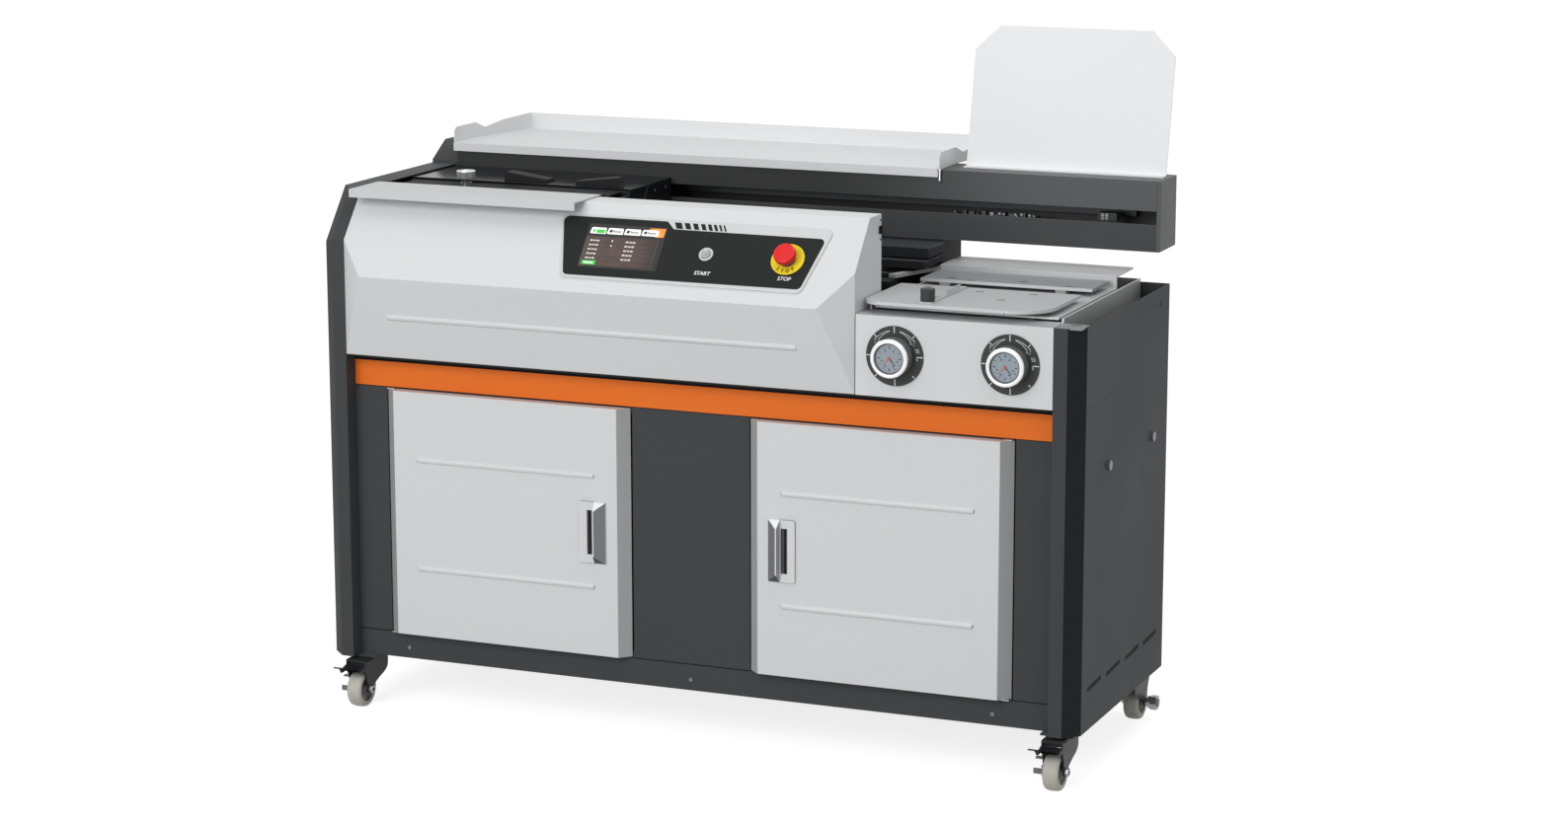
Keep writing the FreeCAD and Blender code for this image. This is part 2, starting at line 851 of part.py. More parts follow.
def cover_blank(skin, wall, back):
    """Side view and plan of the cover, moved in by the skin and wall for its hollow."""
    lean = "slope_run / slope_rise"
    side_view = [
        (f"cover_front + {skin}", "seam"),
        (f"ridge_y + {skin}", "ridge_height"),
        (f"cover_top_front + {skin} - {wall} * {lean}", f"cover_top - {wall}"),
        (back, f"cover_top - {wall}"),
        (back, "seam"),
    ]
    plan = [
        (f"column_width + {wall}", f"cover_front + {skin}"),
        (f"ridge_left + {wall}", f"ridge_y + {skin}"),
        (f"ridge_right - {wall}", f"ridge_y + {skin}"),
        (f"cover_right - {wall}", f"cover_front + {skin}"),
        (f"cover_right - {wall}", back),
        (f"column_width + {wall}", back),
    ]
    side = prism("YZ", side_view, f"column_width + {wall}", f"cover_right - {wall}")
    return overlap(side, prism("XY", plan, "seam", "cover_top"))


def cover_bead():
    """Long raised bead on the lower front face, half buried in it."""
    share = "(cover_bead_z - seam) / (ridge_height - seam)"
    return bead(
        "cover_bead_right - cover_bead_left", "cover_bead_left",
        f"cover_front + (ridge_y - cover_front) * {share} + bead_width / 2 - bead_rise", "cover_bead_z",
    )


def panel_opening():
    hole = DOC.addObject("Part::Box", "opening")
    bind(
        hole,
        Length="panel_right - panel_left - 2 * panel_taper - 2 * panel_opening_margin",
        Width="panel_high - panel_low - panel_opening_margin",
        Height="6 * sheet",
    )
    return on_slope(
        hole, "panel_left + panel_taper + panel_opening_margin", "panel_low + panel_opening_margin / 2", "-4 * sheet",
    )


def front_cover():
    shell = carve(
        join(cover_blank("0", "0", "cover_top_back"), *cover_bead()),
        cover_blank("cover_skin", "sheet", "cover_top_back + 1"),
    )
    node("front_cover", carve(shell, panel_opening()))


def panel_plate():
    """Control panel plate: wider along its upper edge, in its own plane."""
    body = prism("XY", [
        ("panel_taper", "0"),
        ("panel_right - panel_left - panel_taper", "0"),
        ("panel_right - panel_left", "panel_high - panel_low"),
        ("0", "panel_high - panel_low"),
    ], "0", "panel_thickness")
    return on_slope(body, "panel_left", "panel_low", "0")


def slope_rod(radius, length, x, up, out):
    piece = DOC.addObject("Part::Cylinder", "slope_rod")
    bind(piece, Radius=radius, Height=length)
    return on_slope(piece, x, up, out)


def slope_block(x, up, out):
    piece = DOC.addObject("Part::Box", "slope_block")
    bind(
        piece,
        Length=f"({x[1]}) - ({x[0]})",
        Width=f"({up[1]}) - ({up[0]})",
        Height=f"({out[1]}) - ({out[0]})",
    )
    return on_slope(piece, x[0], up[0], out[0])


def control_panel():
    start_hole = "start_radius + fit_clearance"
    stop_hole = "stop_stem_radius + fit_clearance"
    plate = join(
        panel_plate(),
        slope_rod("start_bezel_radius", "start_bezel_height + sheet", "start_x", "start_up", "panel_thickness - sheet"),
    )
    screen_hole = slope_block(
        ("screen_left - screen_gap", "screen_left + screen_width + screen_gap"),
        ("screen_low - screen_gap", "screen_low + screen_height + screen_gap"),
        ("-sheet", "panel_thickness + sheet"),
    )
    node("control_panel", carve(
        plate,
        screen_hole,
        slope_rod(start_hole, "8 * sheet", "start_x", "start_up", "-4 * sheet"),
        slope_rod(stop_hole, "8 * sheet", "stop_x", "stop_up", "-4 * sheet"),
    ))


def touch_screen():
    node("touch_screen", slope_block(
        ("screen_left", "screen_left + screen_width"),
        ("screen_low", "screen_low + screen_height"),
        ("-screen_body", "panel_thickness + screen_proud"),
    ))


def start_button():
    reach = "start_depth + panel_thickness + start_proud"
    node("start_button", slope_rod("start_radius", reach, "start_x", "start_up", "-start_depth"))


def emergency_stop():
    """Mushroom head on its stem."""
    head = "panel_thickness + stop_head_gap"
    node("emergency_stop", join(
        slope_rod("stop_stem_radius", f"stop_depth + {head} + sheet", "stop_x", "stop_up", "-stop_depth"),
        slope_rod("stop_head_radius", "stop_head_height", "stop_x", "stop_up", head),
    ))


# ---------------------------------------------------------------- doors

def door_plan(margin):
    """Plan of the door in its own frame: bevelled sides, the flat face towards minus y."""
    return [
        (f"{margin}", "0"),
        (f"door_width - {margin}", "0"),
        (f"door_width - door_bevel - {margin} / 2", f"-(door_thickness - {margin})"),
        (f"door_bevel + {margin} / 2", f"-(door_thickness - {margin})"),
    ]


def door_shell(left_edge):
    """Pan of folded sheet, open at the back."""
    outer = prism("XY", door_plan("0"), "door_bottom", "door_top")
    inner = prism("XY", door_plan("door_skin"), "door_bottom + door_skin", "door_top - door_skin")
    for blank in (outer, inner):
        place(blank, left_edge, "door_back", "door_bottom" if blank is outer else "door_bottom + door_skin")
    lip = block(
        (f"{left_edge} + 2 * door_skin", f"{left_edge} + door_width - 2 * door_skin"),
        ("door_back - door_skin", "door_back + 1"), ("door_bottom + door_skin", "door_top - door_skin"),
    )
    return carve(outer, inner, lip)


def door_beads(left_edge):
    start = f"{left_edge} + (door_width - bead_length) / 2"
    y = "door_front + bead_width / 2 - bead_rise"
    return bead("bead_length", start, y, "bead_low") + bead("bead_length", start, y, "bead_high")


def hinge_x(side):
    if side == "left":
        return "left_door_x + hinge_inset"
    return "right_door_x + door_width - hinge_inset"


def door(side):
    left_edge = f"{side}_door_x"
    hollow = block(
        (f"{left_edge} + door_bevel", f"{left_edge} + door_width - door_bevel"),
        ("door_front + door_skin", "door_back"), ("door_bottom + door_skin", "door_top - door_skin"),
    )
    holes = [
        rod(
            "Z", "hinge_pin_radius + fit_clearance", "3 * door_skin", hinge_x(side), "door_back - hinge_back",
            f"{level} - 1.5 * door_skin",
        )
        for level in ("door_bottom", "door_top")
    ]
    node(f"{side}_door", carve(join(door_shell(left_edge), *door_beads(left_edge)), hollow, *holes))


def door_handle(side):
    """Chrome pull: base plate, hipped ridge at the door's free edge, finger slot beside it."""
    if side == "left":
        left = "left_door_x + door_width - door_bevel - handle_inset - handle_width"
        ridge_left = f"{left} + handle_width / 2"
        slot_left = f"{left} + handle_width / 2 - 1.5 * handle_slot_width"
    else:
        left = "right_door_x + door_bevel + handle_inset"
        ridge_left = left
        slot_left = f"{left} + handle_width / 2 + handle_slot_width / 2"
    base = block(
        (left, f"{left} + handle_width"), ("door_front - handle_base", "door_front"),
        ("handle_z", "handle_z + handle_height"),
    )
    ridge = DOC.addObject("Part::Wedge", "ridge")
    ridge.Placement = Placement(Vector(), Rotation(Vector(1, 0, 0), 180))
    bind(
        ridge,
        Xmin="0", Xmax="handle_width / 2", Ymin="0", Ymax="handle_rise", Zmin="0", Zmax="handle_height",
        X2min="handle_width / 4 - 1", X2max="handle_width / 4 + 1",
        Z2min="handle_width / 4", Z2max="handle_height - handle_width / 4",
    )
    place(ridge, ridge_left, "door_front - handle_base", "handle_z + handle_height")
    slot = block(
        (slot_left, f"{slot_left} + handle_slot_width"), ("door_front - handle_base - 1", "door_front - handle_base / 2"),
        ("handle_z + (handle_height - handle_slot_length) / 2", "handle_z + (handle_height + handle_slot_length) / 2"),
    )
    node(f"{side}_door_handle", carve(join(base, ridge), slot))


def door_hinge_pins():
    """Pivot brackets fixed to the door frame, a pin in each door's top and bottom flange."""
    pieces = []
    for side in ("left", "right"):
        x = hinge_x(side)
        y = "door_back - hinge_back"
        levels = (
            ("door_bottom - hinge_plate - 0.5", "door_bottom - 0.5 - hinge_plate"),
            ("door_top + 0.5", "door_top + 0.5 + hinge_plate - hinge_pin_length"),
        )
        for plate_z, pin_z in levels:
            plate = block(
                (f"{x} - 4 * hinge_pin_radius", f"{x} + 4 * hinge_pin_radius"),
                (f"{y} - 2 * hinge_pin_radius", "panel_plane"), (plate_z, f"{plate_z} + hinge_plate"),
            )
            pieces.append(join(plate, rod("Z", "hinge_pin_radius", "hinge_pin_length", x, y, pin_z)))
    node("door_hinge_pins", together(*pieces))


# ---------------------------------------------------------------- right-hand table

def table_fascia():
    """Light front plate with two shaft bosses behind it and the gutter folded from its top."""
    top = "seam + right_upper_height"
    across = ("fascia_left", "inner_right")
    pieces = [
        block(across, ("0", "sheet"), ("seam", top)),
        block(across, ("0", "gutter_depth"), (f"{top} - sheet", top)),
    ]
    holes = []
    for x in ("dial_left_x", "dial_right_x"):
        pieces.append(rod("Y", "dial_boss_radius", "dial_boss_length", x, "0", "dial_z"))
        holes.append(rod("Y", "dial_shaft_radius + fit_clearance", "2 * dial_boss_length", x, "-dial_boss_length / 2", "dial_z"))
    node("table_fascia", carve(join(*pieces), *holes))


def table_frame():
    """Left, right and rear plates on the deck, and the socket that guides the lifting column."""
    level = ("seam", "table_top")
    side_y = ("gutter_depth + fascia_gap", "table_back")
    half = "socket_size / 2"
    bore = "socket_size / 2 - socket_wall"
    base = "seam"
    socket = carve(
        block((f"lift_x - {half}", f"lift_x + {half}"), (f"lift_y - {half}", f"lift_y + {half}"), (base, f"{base} + socket_height")),
        block((f"lift_x - {bore}", f"lift_x + {bore}"), (f"lift_y - {bore}", f"lift_y + {bore}"), (f"{base} + sheet", f"{base} + socket_height + 1")),
    )
    frame = join(
        block(("table_left", "table_left + table_wall"), side_y, level),
        block(("table_right - table_wall", "table_right"), side_y, level),
        block(("table_left", "table_right"), ("table_back - table_wall", "table_back"), level),
        block(("table_left", "table_right"), side_y, (base, f"{base} + sheet")),
        socket,
    )
    node("table_frame", frame)


def lift_table():
    """Rising bed under the cover: plate, stepped rear plate and the column below it."""
    across = ("table_left + lift_margin", "table_right - lift_margin")
    bed = ("table_top - lift_thickness", "table_top")
    step = ("rear_table_front", "rear_table_front + lift_thickness")
    column = "socket_size / 2 - socket_wall - socket_gap"
    node("lift_table", join(
        block(across, ("lift_front", "rear_table_front + lift_thickness"), bed),
        block(across, step, ("table_top - lift_thickness", "table_top + rear_table_height")),
        block(
            across, ("rear_table_front", "rear_table_back"),
            ("table_top + rear_table_height - lift_thickness", "table_top + rear_table_height"),
        ),
        block(
            (f"lift_x - ({column})", f"lift_x + ({column})"), (f"lift_y - ({column})", f"lift_y + ({column})"),
            ("table_top - lift_thickness - lift_column", "table_top - lift_thickness"),
        ),
    ))


def nip_feet(front, back):
    """Two slides that carry a clamping plate on the lifting bed."""
    inset = "nip_foot_inset"
    level = ("table_top + slide_gap", "nip_height - nip_thickness")
    return [
        block((left, f"{left} + nip_foot_width"), (front, back), level)
        for left in (f"nip_left + {inset}", f"nip_right - {inset} - nip_foot_width")
    ]


def front_nip_plate():
    """Front clamping plate with its curved front corners, a stud hole and two slides."""
    level = ("nip_height - nip_thickness", "nip_height")
    plate = block(("nip_left", "nip_right"), ("nip_front", "nip_front_back"), level)
    right = SHEET.nip_right
    front = SHEET.nip_front
    rounded = ease(
        "Part::Fillet", plate, SIZES["nip_corner"],
        lambda end: near(end.x, right) and near(end.y, front),
    )
    left = SHEET.nip_left
    softened = ease(
        "Part::Fillet", rounded, SIZES["nip_corner"] / 2,
        lambda end: near(end.x, left) and near(end.y, front),
    )
    hole = rod("Z", "guide_stud_radius + fit_clearance", "3 * nip_thickness", "guide_x", "guide_knob_y", "nip_height - 2 * nip_thickness")
    feet = nip_feet("lift_front + lift_margin", "nip_front_back - lift_margin")
    node("front_nip_plate", carve(join(softened, *feet), hole))


def rear_nip_plate():
    level = ("nip_height - nip_thickness", "nip_height")
    plate = block(("nip_left + nip_overhang + lift_margin", "nip_right"), ("nip_rear_front", "nip_rear_back"), level)
    node("rear_nip_plate", join(plate, *nip_feet("nip_rear_front", "nip_rear_back")))


def side_guide():
    """Slotted strip with a fence that the cover's edge is laid against."""
    half = "guide_width / 2"
    base = "nip_height + slide_gap"
    strip = join(
        block((f"guide_x - {half}", f"guide_x + {half}"), ("guide_front", "guide_back"), (base, f"{base} + guide_thickness")),
        block(
            (f"guide_x + {half} - guide_thickness", f"guide_x + {half}"),
            ("guide_knob_y + guide_slot_length", "guide_knob_y + 2.3 * guide_slot_length"),
            (base, f"{base} + guide_fence"),
        ),
    )
    ends = ("guide_knob_y", "guide_knob_y + guide_slot_length")
    slot = join(
        block(("guide_x - guide_slot_radius", "guide_x + guide_slot_radius"), ends, (f"{base} - 1", f"{base} + guide_fence")),
        *[rod("Z", "guide_slot_radius", "guide_fence + 1", "guide_x", end, f"{base} - 1") for end in ends],
    )
    node("side_guide", carve(strip, slot))


def guide_knob():
    """Thumb knob on the strip, its stud down through the slot into the clamping plate."""
    base = "nip_height + 2 * slide_gap + guide_thickness"
    node("guide_knob", join(
        rod("Z", "guide_knob_radius", "guide_knob_height", "guide_x", "guide_knob_y", base),
        rod(
            "Z", "guide_stud_radius", "nip_thickness + 2 * slide_gap + guide_thickness + 1", "guide_x", "guide_knob_y",
            "nip_height - nip_thickness",
        ),
    ))


def adjusting_knob(side):
    """Round dial knob on its shaft, which goes on as the adjusting screw behind the fascia."""
    x = f"dial_{side}_x"
    front = "-(dial_standoff + dial_height)"
    node(f"{side}_adjusting_knob", join(
        rod("Y", "dial_radius", "dial_height", x, front, "dial_z"),
        rod("Y", "dial_shaft_radius", "dial_standoff + dial_boss_length + 2", x, "-dial_standoff - 1", "dial_z"),
        rod("Y", "screw_radius", "screw_length", x, "dial_boss_length", "dial_z"),
    ))


def stop_block(side):
    """Nut that the adjusting screw moves to and fro."""
    x = f"dial_{side}_x"
    half = "stop_block_width / 2"
    nut = block(
        (f"{x} - {half}", f"{x} + {half}"), ("stop_block_start", "stop_block_start + stop_block_depth"),
        (f"dial_z - {half}", f"dial_z + {half}"),
    )
    bore = rod("Y", "screw_radius + fit_clearance", "2 * stop_block_depth", x, "stop_block_start - 5", "dial_z")
    node(f"{side}_stop_block", carve(nut, bore))


# ---------------------------------------------------------------- beam, rail, tray, platform

def guide_beam():
    """Box beam welded from plates: bevelled bracket, end plates, long walls, the slot in the front one."""
    full_depth = ("beam_front", "beam_back")
    full_height = ("beam_bottom", "beam_top")
    length = ("bracket_width", "width - beam_wall")
    front = ("beam_front", "beam_front + beam_wall")
    slot_top = "slot_bottom + slot_height"
    bracket = prism("YZ", [
        ("beam_front", "beam_bottom"),
        ("beam_back", "beam_bottom"),
        ("beam_back", "beam_top"),
        ("beam_front + bracket_bevel_depth", "beam_top"),
        ("beam_front", "beam_top - bracket_bevel_height"),
    ], "0", "bracket_width - beam_wall")
    node("guide_beam", together(
        bracket,
        block(("bracket_width - beam_wall", "bracket_width"), full_depth, full_height),
        block(("width - beam_wall", "width"), full_depth, full_height),
        block(length, full_depth, ("beam_top - beam_wall", "beam_top")),
        block(length, full_depth, ("beam_bottom", "beam_bottom + beam_wall")),
        block(length, ("beam_back - beam_wall", "beam_back"), ("beam_bottom + beam_wall", "beam_top - beam_wall")),
        block(length, front, ("beam_bottom + beam_wall", "slot_bottom")),
        block(length, front, (slot_top, "beam_top - beam_wall")),
        block(("width - 2 * beam_wall", "width - beam_wall"), front, ("slot_bottom", slot_top)),
    ))


def linear_rail():
    back = "beam_back - beam_wall"
    node("linear_rail", block(
        ("rail_inset", "width - rail_inset"), (f"{back} - rail_depth", back), ("rail_z", "rail_z + rail_thickness"),
    ))


def drive_chain():
    """Chain stretched between the beam's end walls; the carriage's sprocket climbs along it."""
    node("drive_chain", block(
        ("bracket_width", "width - beam_wall"), ("chain_y", "chain_y + chain_depth"), ("chain_z", "chain_z + chain_height"),
    ))


def document_tray():
    """Sheet tray on the beam: floor falling to the back, front skirt, back wall, wavy ends."""
    floor = [
        ("tray_front", "beam_top"),
        ("beam_back", "beam_top"),
        ("tray_back", "beam_top - tray_drop"),
        ("tray_back", "beam_top - tray_drop + tray_back_wall"),
        ("tray_back - sheet", "beam_top - tray_drop + tray_back_wall"),
        ("tray_back - sheet", "beam_top - tray_drop + sheet"),
        ("beam_back", "beam_top + sheet"),
        ("tray_front", "beam_top + sheet"),
        ("tray_front - sheet", "beam_top + sheet"),
        ("tray_front - sheet", "beam_top - tray_skirt"),
        ("tray_front", "beam_top - tray_skirt"),
    ]
    end = [
        ("tray_front", "beam_top"),
        ("beam_back", "beam_top"),
        ("tray_back", "beam_top - tray_drop"),
        ("tray_back", "beam_top - tray_drop + tray_back_wall"),
        ("tray_rise", "beam_top + tray_wall_low + 6"),
        ("tray_dip", "beam_top + tray_wall_low"),
        ("tray_hump_end", "beam_top + tray_wall_high"),
        ("tray_front + 8", "beam_top + tray_wall_high"),
        ("tray_front", "beam_top + tray_wall_high - 8"),
    ]
    node("document_tray", join(
        prism("YZ", floor, "tray_left", "tray_right"),
        prism("YZ", end, "tray_left", "tray_left + sheet"),
        prism("YZ", end, "tray_right - sheet", "tray_right"),
    ))


def cover_platform():
    """White sheet that leans back from its foot on the beam, with two cut corners."""
    wide = "platform_right - platform_left"
    sheet = prism("XZ", [
        ("0", "0"),
        (wide, "0"),
        (wide, "platform_height - platform_corner"),
        (f"{wide} - platform_corner", "platform_height"),
        ("platform_corner", "platform_height"),
        ("0", "platform_height - platform_corner"),
    ], "0", "sheet")
    sheet.Placement = Placement(Vector(), Rotation(Vector(-1, 0, 0), 10))
    bind(sheet, Placement__Rotation__Angle="platform_lean * 1 deg")
    place(sheet, "platform_left", "platform_y - sheet", "beam_top")
    foot = block(
        ("platform_left", "platform_right"), ("platform_y - platform_foot", "platform_y"), ("beam_top", "beam_top + sheet"),
    )
    trim = block(
        ("platform_left - 1", "platform_right + 1"), ("platform_y - 2 * platform_foot", "platform_y + platform_foot"),
        ("beam_top - platform_foot", "beam_top"),
    )
    node("cover_platform", carve(join(sheet, foot), trim))


# ---------------------------------------------------------------- carriage

def arm_edges():
    """Left edges of the two arms that go through the beam's slot."""
    return ("carriage_left + runner_inset", "carriage_right - runner_inset - arm_width")


def runner(left):
    """Block that wraps the linear rail, joined to its arm."""
    groove_back = "beam_back - beam_wall - rail_depth"
    middle = "rail_z + rail_thickness / 2"
    body = block(
        (left, f"{left} + arm_width"), ("runner_front", "runner_front + runner_depth"),
        (f"{middle} - runner_height / 2", f"{middle} + runner_height / 2"),
    )
    groove = block(
        (f"{left} - 1", f"{left} + arm_width + 1"), (f"{groove_back} - slide_gap", "beam_back"),
        ("rail_z - slide_gap", "rail_z + rail_thickness + slide_gap"),
    )
    arm = block(
        (left, f"{left} + arm_width"), ("beam_front - casing_back_gap - front_bar", "runner_front"),
        ("slot_bottom + arm_gap", "slot_bottom + slot_height - arm_gap"),
    )
    return [arm, carve(body, groove)]


def carriage_frame():
    """End plates, front and rear bars, rear jaw, jaw rods, fixed strip, arms and runners."""
    inner_left = "carriage_left + sheet"
    inner_right = "carriage_right - sheet"
    rear = "beam_front - casing_back_gap"
    wide = (inner_left, inner_right)
    low = "casing_bottom"
    pieces = [
        block(wide, ("end_plate_front", "end_plate_front + front_bar"), ("casing_bottom + front_bar", "front_bar_top")),
        block(wide, ("end_plate_front", "cover_strip_back"), ("front_bar_top - sheet", "front_bar_top")),
        block(wide, (f"{rear} - front_bar", rear), (low, "end_plate_top")),
        block(wide, ("rear_jaw_front", "rear_jaw_front + jaw_thickness"), ("jaw_bottom", "end_plate_top")),
    ]
    for left in (inner_left, f"{inner_right} - end_plate"):
        plate = (left, f"{left} + end_plate")
        pieces.append(block(plate, ("end_plate_front", rear), (low, "front_bar_top")))
        pieces.append(block(plate, ("rear_jaw_front", rear), (low, "end_plate_top")))
        pieces.append(block(plate, ("end_plate_front", "end_plate_front + 3 * front_bar"), (low, "shelf_bottom")))
    for x in ("carriage_left + jaw_rod_inset", "carriage_right - jaw_rod_inset"):
        pieces.append(rod("Y", "jaw_rod_radius", "rear_jaw_front - end_plate_front", x, "end_plate_front", "jaw_rod_z"))
    for left in arm_edges():
        pieces += runner(left)
    shaft_hole = rod(
        "Y", "sprocket_hub_radius + fit_clearance", "3 * front_bar", "carriage_middle", f"{rear} - 2 * front_bar", "sprocket_z",
    )
    node("carriage_frame", carve(join(*pieces), shaft_hole))


def carriage_casing():
    """Dark cover of the book clamp: top, end walls with a slanted gusset, front lip, two grips."""
    rear = "beam_front - casing_back_gap"
    top = ("casing_top - sheet", "casing_top")
    wall = [
        ("casing_front", "casing_top"),
        ("casing_front", "casing_top - casing_lip"),
        ("casing_front + 2 * casing_lip", "casing_top - casing_lip"),
        (f"{rear} - casing_lip", "casing_bottom"),
        (rear, "casing_bottom"),
        (rear, "casing_top"),
    ]
    pieces = [
        block(("carriage_left", "carriage_right"), ("casing_front", rear), top),
        prism("YZ", wall, "carriage_left", "carriage_left + sheet"),
        prism("YZ", wall, "carriage_right - sheet", "carriage_right"),
    ]
    grip_right = "grip_second_x + grip_length"
    grips = (
        [
            ("grip_first_x", "casing_top"),
            ("grip_first_x + grip_length", "casing_top"),
            ("grip_first_x + grip_length", "casing_top + grip_low_end"),
            ("grip_first_x + grip_low_end", "casing_top + grip_height"),
        ],
        [
            ("grip_second_x", "casing_top"),
            (grip_right, "casing_top"),
            (f"{grip_right} - grip_low_end", "casing_top + grip_height"),
            ("grip_second_x", "casing_top + grip_low_end"),
        ],
    )
    for grip in grips:
        pieces.append(prism("XZ", grip, "grip_y", "grip_y + grip_width"))
    node("carriage_casing", join(*pieces))


def book_shelf():
    """Light shelf that slides over the front cover with the carriage."""
    across = ("carriage_left", "carriage_right")
    node("book_shelf", join(
        block(across, ("shelf_front", "shelf_back"), ("shelf_bottom", "shelf_top")),
        block(across, ("shelf_front", "shelf_front + sheet"), ("shelf_top - shelf_lip", "shelf_top")),
    ))


def front_jaw():
    """Moving jaw with its top strip, bored for the two rods and for the knob's stem."""
    across = ("carriage_left + sheet + end_plate + jaw_side_gap", "carriage_right - sheet - end_plate - jaw_side_gap")
    jaw = join(
        block(across, ("jaw_face - jaw_thickness", "jaw_face"), ("jaw_bottom", "jaw_top")),
        block(across, ("jaw_top_front", "jaw_face"), ("jaw_top - sheet", "jaw_top")),
    )
    bores = [
        rod("Y", "jaw_rod_radius + fit_clearance", "2 * jaw_thickness", x, "jaw_face - 1.5 * jaw_thickness", "jaw_rod_z")
        for x in ("carriage_left + jaw_rod_inset", "carriage_right - jaw_rod_inset")
    ]
    stem = rod("Z", "knob_stem_radius + fit_clearance", "4 * sheet", "knob_x", "knob_y", "jaw_top - 3 * sheet")
    node("front_jaw", carve(jaw, stem, *bores))


def clamp_knob():
    """Knurled knob on its neck, the stem down through the jaw's top strip."""
    node("clamp_knob", join(
        rod("Z", "knob_radius", "knob_height", "knob_x", "knob_y", "jaw_top + knob_neck"),
        rod("Z", "knob_neck_radius", "knob_neck - slide_gap + 1", "knob_x", "knob_y", "jaw_top + slide_gap"),
        rod("Z", "knob_stem_radius", "knob_neck + 3 * sheet + 1", "knob_x", "knob_y", "jaw_top - 3 * sheet"),
    ))


def carriage_motor():
    """Gear motor between the arms, bored for the sprocket's shaft."""
    motor = block(
        ("carriage_middle - motor_width / 2", "carriage_middle + motor_width / 2"),
        ("motor_front", "motor_back"),
        ("casing_top - sheet - motor_height", "casing_top - sheet"),
    )
    bore = rod("Y", "sprocket_hub_radius + fit_clearance", "motor_depth", "carriage_middle", "motor_back - motor_bore_depth", "sprocket_z")
    node("carriage_motor", carve(motor, bore))


def drive_sprocket():
    """Toothed wheel over the chain on the shaft that comes out of the gear motor."""
    teeth = SIZES["sprocket_teeth"]
    root = "sprocket_radius - sprocket_tooth"
    middle = "chain_y + chain_depth / 2"
    width = "chain_depth * 0.6"
    pieces = [
        rod("Y", root, width, "carriage_middle", f"{middle} - {width} / 2", "sprocket_z"),
        rod(
            "Y", "sprocket_hub_radius", f"{middle} - motor_back + motor_bore_depth - 1", "carriage_middle",
            "motor_back - motor_bore_depth + 1", "sprocket_z",
        ),
    ]
    for index in range(teeth):
        tooth = DOC.addObject("Part::Box", "tooth")
        bind(tooth, Length="sprocket_tooth", Width=width, Height="sprocket_radius - 1")
        angle = 360 * (index + 0.5) / teeth
        tooth.Placement = Placement(Vector(), Rotation(Vector(0, 1, 0), angle))
        shift = "sprocket_tooth / 2"
        turn = math.radians(angle)
        place(
            tooth,
            f"carriage_middle - {shift} * {math.cos(turn):.6f} + {math.sin(turn):.6f}",
            f"{middle} - {width} / 2",
            f"sprocket_z + {shift} * {math.sin(turn):.6f} + {math.cos(turn):.6f}",
        )
        pieces.append(tooth)
    node("drive_sprocket", join(*pieces))


# ---------------------------------------------------------------- milling and gluing

def milling_motor():
    """Upright motor on its flange, bored for the cutter's shaft."""
    body = join(
        rod("Z", "mill_motor_radius", "mill_motor_height", "mill_x", "path_y", "seam"),
        rod("Z", "mill_motor_radius * 1.25", "4 * sheet", "mill_x", "path_y", "seam"),
    )
    bore = rod("Z", "mill_shaft_radius + fit_clearance", "mill_motor_height", "mill_x", "path_y", "seam + mill_motor_height / 2")
    node("milling_motor", carve(body, bore))


def milling_cutter():
    """Disc with upright teeth round its rim, on the shaft."""
    teeth = SIZES["cutter_teeth"]
    disc = "cutter_top - cutter_thickness"
    pieces = [
        rod("Z", "cutter_radius", "cutter_thickness * 0.6", "mill_x", "path_y", disc),
        rod("Z", "mill_shaft_radius", f"{disc} - seam - mill_motor_height * 0.6", "mill_x", "path_y", "seam + mill_motor_height * 0.6"),
    ]
    for index in range(teeth):
        turn = 2 * math.pi * index / teeth
        reach = "(cutter_radius - cutter_tooth)"
        pieces.append(rod(
            "Z", "cutter_tooth / 2", "cutter_thickness",
            f"mill_x + {reach} * {math.cos(turn):.6f}", f"path_y + {reach} * {math.sin(turn):.6f}", disc,
        ))
    node("milling_cutter", join(*pieces))


def glue_tank():
    """Heated trough on a stand, bored for the roller, with the drive box at its rear."""
    wall = "glue_wall"
    x = ("glue_left", "glue_left + glue_length")
    front = "path_y - glue_width / 2"
    back = "path_y + glue_width / 2"
    rim = "glue_bottom + glue_height"
    bath = carve(
        block(x, (front, back), ("glue_bottom", rim)),
        block(
            (f"glue_left + {wall}", f"glue_left + glue_length - {wall}"), (f"{front} + {wall}", f"{back} - {wall}"),
            (f"glue_bottom + {wall}", f"{rim} + 1"),
        ),
    )
    stand = block(
        ("roller_x - glue_stand / 2", "roller_x + glue_stand / 2"), ("path_y - glue_stand / 2", "path_y + glue_stand / 2"),
        ("seam", "glue_bottom"),
    )
    drive = block(
        ("roller_x - glue_drive / 2", "roller_x + glue_drive / 2"), (back, f"{back} + glue_drive"), ("glue_bottom", rim),
    )
    bore = rod(
        "Y", "roller_shaft_radius + fit_clearance", f"glue_width + glue_drive / 2 + 1", "roller_x", f"{front} - 1", "roller_z",
    )
    node("glue_tank", carve(join(bath, stand, drive), bore))


def glue_roller():
    """Roller that lifts the glue to the spine, with its shaft through both walls."""
    reach = "glue_width / 2 - glue_wall - roller_end_gap"
    node("glue_roller", join(
        rod("Y", "roller_radius", f"2 * ({reach})", "roller_x", f"path_y - ({reach})", "roller_z"),
        rod("Y", "roller_shaft_radius", "glue_width + glue_drive / 2 - 1", "roller_x", "path_y - glue_width / 2", "roller_z"),
    ))


# ---------------------------------------------------------------- electrics

